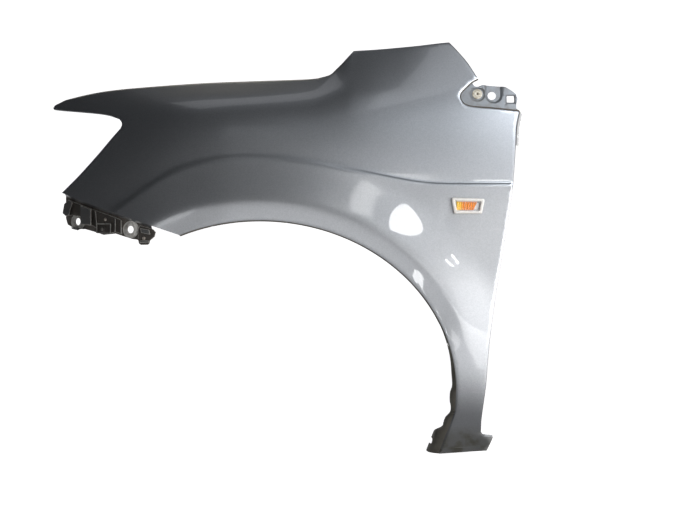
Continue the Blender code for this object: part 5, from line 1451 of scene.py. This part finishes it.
# Carried-over CAD nodes keep their meshes and take procedural materials
carried = {
    "repeater_clip": wornMaterial("clipSteel", (0.35, 0.35, 0.36), roughness=0.35, metallic=1.0,
                                  dust=(0.2, 0.16, 0.12), amount=0.3, scale=150.0),
    "repeater_bulb": glassMaterial("bulbGlass", (0.85, 0.85, 0.82), 0.4),
    "repeater_holder": wornMaterial("holderPlastic", (0.12, 0.12, 0.12), roughness=0.5,
                                    dust=(0.2, 0.18, 0.15), amount=0.3, scale=90.0),
    "repeater_holder_seal": foamRubber,
    "repeater_terminal_upper": wornMaterial("bladeBrass", (0.72, 0.55, 0.26), roughness=0.3,
                                            metallic=1.0, dust=(0.3, 0.25, 0.15), amount=0.3,
                                            scale=200.0),
}
carried["repeater_terminal_lower"] = carried["repeater_terminal_upper"]
for nodeName, material in carried.items():
    node = frame["nodes"][nodeName]
    node.data.materials.clear()
    node.data.materials.append(material)

# Values a user may change: the studio
studio = {
    "world": (0.026, 0.027, 0.029),
    "keyEnergy": 17.3,
    "upperEnergy": 4.6,
    "keyColour": (1.0, 0.985, 0.965),
    "floor": (0.86, 0.845, 0.84),
    "floorLift": 0.93,
    "floorMirrored": 0.36,
}

floorZ = (-114 - seat.z) / 1000
wallY = -1500  # the wall that the window panes hang on


def stagePlane(name, corners, material):
    mesh = bpy.data.meshes.new(name)
    mesh.from_pydata(corners, [], [(0, 1, 2, 3)])
    mesh.materials.append(material)
    made = bpy.data.objects.new(name, mesh)
    scene.collection.objects.link(made)
    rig.stage(made)


def paleMaterial(name, lift, mirrored, seenThrough=False):
    # Pale matt surface that the camera sees as near white, with shadows kept
    material, tree, shader = newMaterial(name)
    ray = addNode(tree, "LightPath").outputs
    seen = mathNode(tree, "MAXIMUM", ray["Is Camera Ray"], ray["Is Transmission Ray"])
    seen = mathNode(tree, "MAXIMUM", seen, mathNode(tree, "MULTIPLY", ray["Is Glossy Ray"], mirrored))
    feed(tree, shader, {"Base Color": studio["floor"], "Roughness": 0.9,
                        "Emission Color": (1.0, 1.0, 1.0),
                        "Emission Strength": mathNode(tree, "MULTIPLY", seen, lift)})
    if seenThrough:
        behind = addNode(tree, "NewGeometry").outputs["Backfacing"]
        feed(tree, shader, {"Alpha": mathNode(tree, "SUBTRACT", 1.0, behind)})
    return material


stagePlane("floor", [(-6, -6, floorZ), (6, -6, floorZ), (6, 4, floorZ), (-6, 4, floorZ)],
           paleMaterial("floorPale", studio["floorLift"], studio["floorMirrored"]))
stagePlane("backdrop", [(-1.7, 2.6, floorZ - 0.1), (2.2, 2.6, floorZ - 0.1), (2.2, 2.6, 0.9),
                        (-1.7, 2.6, 0.9)], paleMaterial("backdropPale", 1.0, 1.0, True))

# A dim world that the camera sees as white
world = bpy.data.worlds.new("studioWorld")
scene.world = world
world.use_nodes = True
sky = world.node_tree
dim = feed(sky, sky.nodes["Background"], {"Color": studio["world"], "Strength": 1.0})
white = addNode(sky, "Background", {"Color": (1.0, 1.0, 1.0)})
seen = addNode(sky, "LightPath").outputs["Is Camera Ray"]
choose = addNode(sky, "MixShader", {0: seen, 1: dim.outputs["Background"],
                                    2: white.outputs["Background"]})
feed(sky, sky.nodes["World Output"], {"Surface": choose.outputs["Shader"]})


def softbox(name, place, target, size, energy, colour=(1.0, 1.0, 1.0)):
    # A rectangular lamp at a design point, aimed at another
    data = bpy.data.lights.new(name, "AREA")
    data.shape = "RECTANGLE"
    data.size, data.size_y = size
    data.energy = energy
    data.color = colour
    lamp = bpy.data.objects.new(name, data)
    lamp.location = toRow(*place)
    lamp.rotation_mode = "QUATERNION"
    lamp.rotation_quaternion = (Vector(target) - Vector(place)).to_track_quat("-Z", "Y")
    scene.collection.objects.link(lamp)
    return lamp


def pane(name, leftTop, rightTop, leftBottom, radiance, colour=(1.0, 1.0, 1.0)):
    # A bright window pane through three design points, for the reflections in the paint
    corner = Vector(toRow(*leftTop))
    along = Vector(toRow(*rightTop)) - corner
    down = Vector(toRow(*leftBottom)) - corner
    across = along.normalized()
    up = (-down + across * down.dot(across)).normalized()
    size = (along.length, -down.dot(up))
    lamp = softbox(name, (0, 0, 0), (0, 1, 0), size, radiance * math.pi * size[0] * size[1], colour)
    lamp.location = corner + (along - up * size[1]) / 2
    lamp.rotation_quaternion = Matrix((across, up, across.cross(up))).transposed().to_quaternion()


def nestedPanes(name, left, right, tops, bottom, wallY, count, step, radiance):
    # Nested panes make soft edges. Each lies at its own depth, as lamps in one plane hide one another
    for k in range(count):
        y, inset = wallY - 4 * k, step * k
        pane(name, (left + inset, y, tops[0] - inset), (right - inset, y, tops[1] - inset),
             (left + inset, y, bottom + inset), radiance)


softbox("keyRight", (1503, -1128, 244), (403, 172, 294), (1.3, 0.8), studio["keyEnergy"],
        studio["keyColour"])
softbox("upperRight", (773, -614, 996), (403, 40, 480), (0.48, 0.36), studio["upperEnergy"],
        (0.90, 0.95, 1.0))
softbox("behindTop", (-60, 2300, 2000), (-60, 130, 555), (2.0, 0.5), 1.0, (1.0, 0.95, 0.82))
softbox("aboveRight", (350, -310, 1090), (340, 70, 575), (0.3, 0.2), 0.15, (0.93, 0.96, 1.0))
softbox("behindLeft", (-200, 900, 2500), (60, 90, 540), (1.4, 0.6), 0.9, (0.96, 0.97, 1.0))
softbox("leftFill", (-900, -1300, 60), (-300, 100, 320), (0.6, 0.6), 1.2)
nestedPanes("flareSoft", 190, 480, (900, 890), 640, wallY, 4, 26, 0.32)
nestedPanes("crestSoft", 240, 700, (460, 460), 0, wallY, 4, 26, 0.35)
nestedPanes("flareCrest", 336, 460, (882, 882), 756, wallY + 20, 3, 9, 1.5)
pane("flarePane", (543, wallY, 796), (726, wallY, 781), (534, wallY, 690), 13.0)
pane("streak", (816.8, wallY, 537.8), (819.6, wallY, 539.8), (853, wallY, 484), 26.0)
pane("lipPane", (46, -896, -109), (74, -897, -109), (61, -602, -109), 12.0)
pane("tailPane", (230, -1190, -108), (800, -1520, -108), (470, -640, -108), 3.1)
for name, left, right, top, bottom, radiance in (("roomWindowA", -160, 20, 2400, 1350, 0.15),
                                                 ("roomWindowB", -430, -240, 2300, 1400, 0.2)):
    pane(name, (left, wallY, top), (right, wallY, top), (left, wallY, bottom), radiance,
         (0.95, 0.97, 1.0))
softbox("hoodEdge", (-520, 1560, 1700), (-150, 110, 540), (1.5, 0.12), 0.5, (1.0, 0.93, 0.78))

# Values a user may change: the camera, with the photograph's width in pixels and its scale at the arch
photoCamera = {"x": 137.2, "z": 244.1, "distance": 2300, "mmPerPixel": 1.75, "width": 675}
camData = bpy.data.cameras.new("photoCamera")
camData.sensor_width = 36.0
fieldWidth = photoCamera["mmPerPixel"] * photoCamera["width"]
camData.lens = camData.sensor_width * photoCamera["distance"] / fieldWidth
camData.clip_end = 50
camera = bpy.data.objects.new("photoCamera", camData)
camera.location = toRow(photoCamera["x"], -photoCamera["distance"], photoCamera["z"])
camera.rotation_euler = (math.radians(90), 0, 0)
scene.collection.objects.link(camera)
scene.camera = camera
scene.view_settings.view_transform = "Standard"
print("stage: studio")

low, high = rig.bounds()
with open("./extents.json") as given:
    sizes = json.load(given)
sizes["after"] = [list(low), list(high)]
with open("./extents.json", "w") as out:
    json.dump(sizes, out)
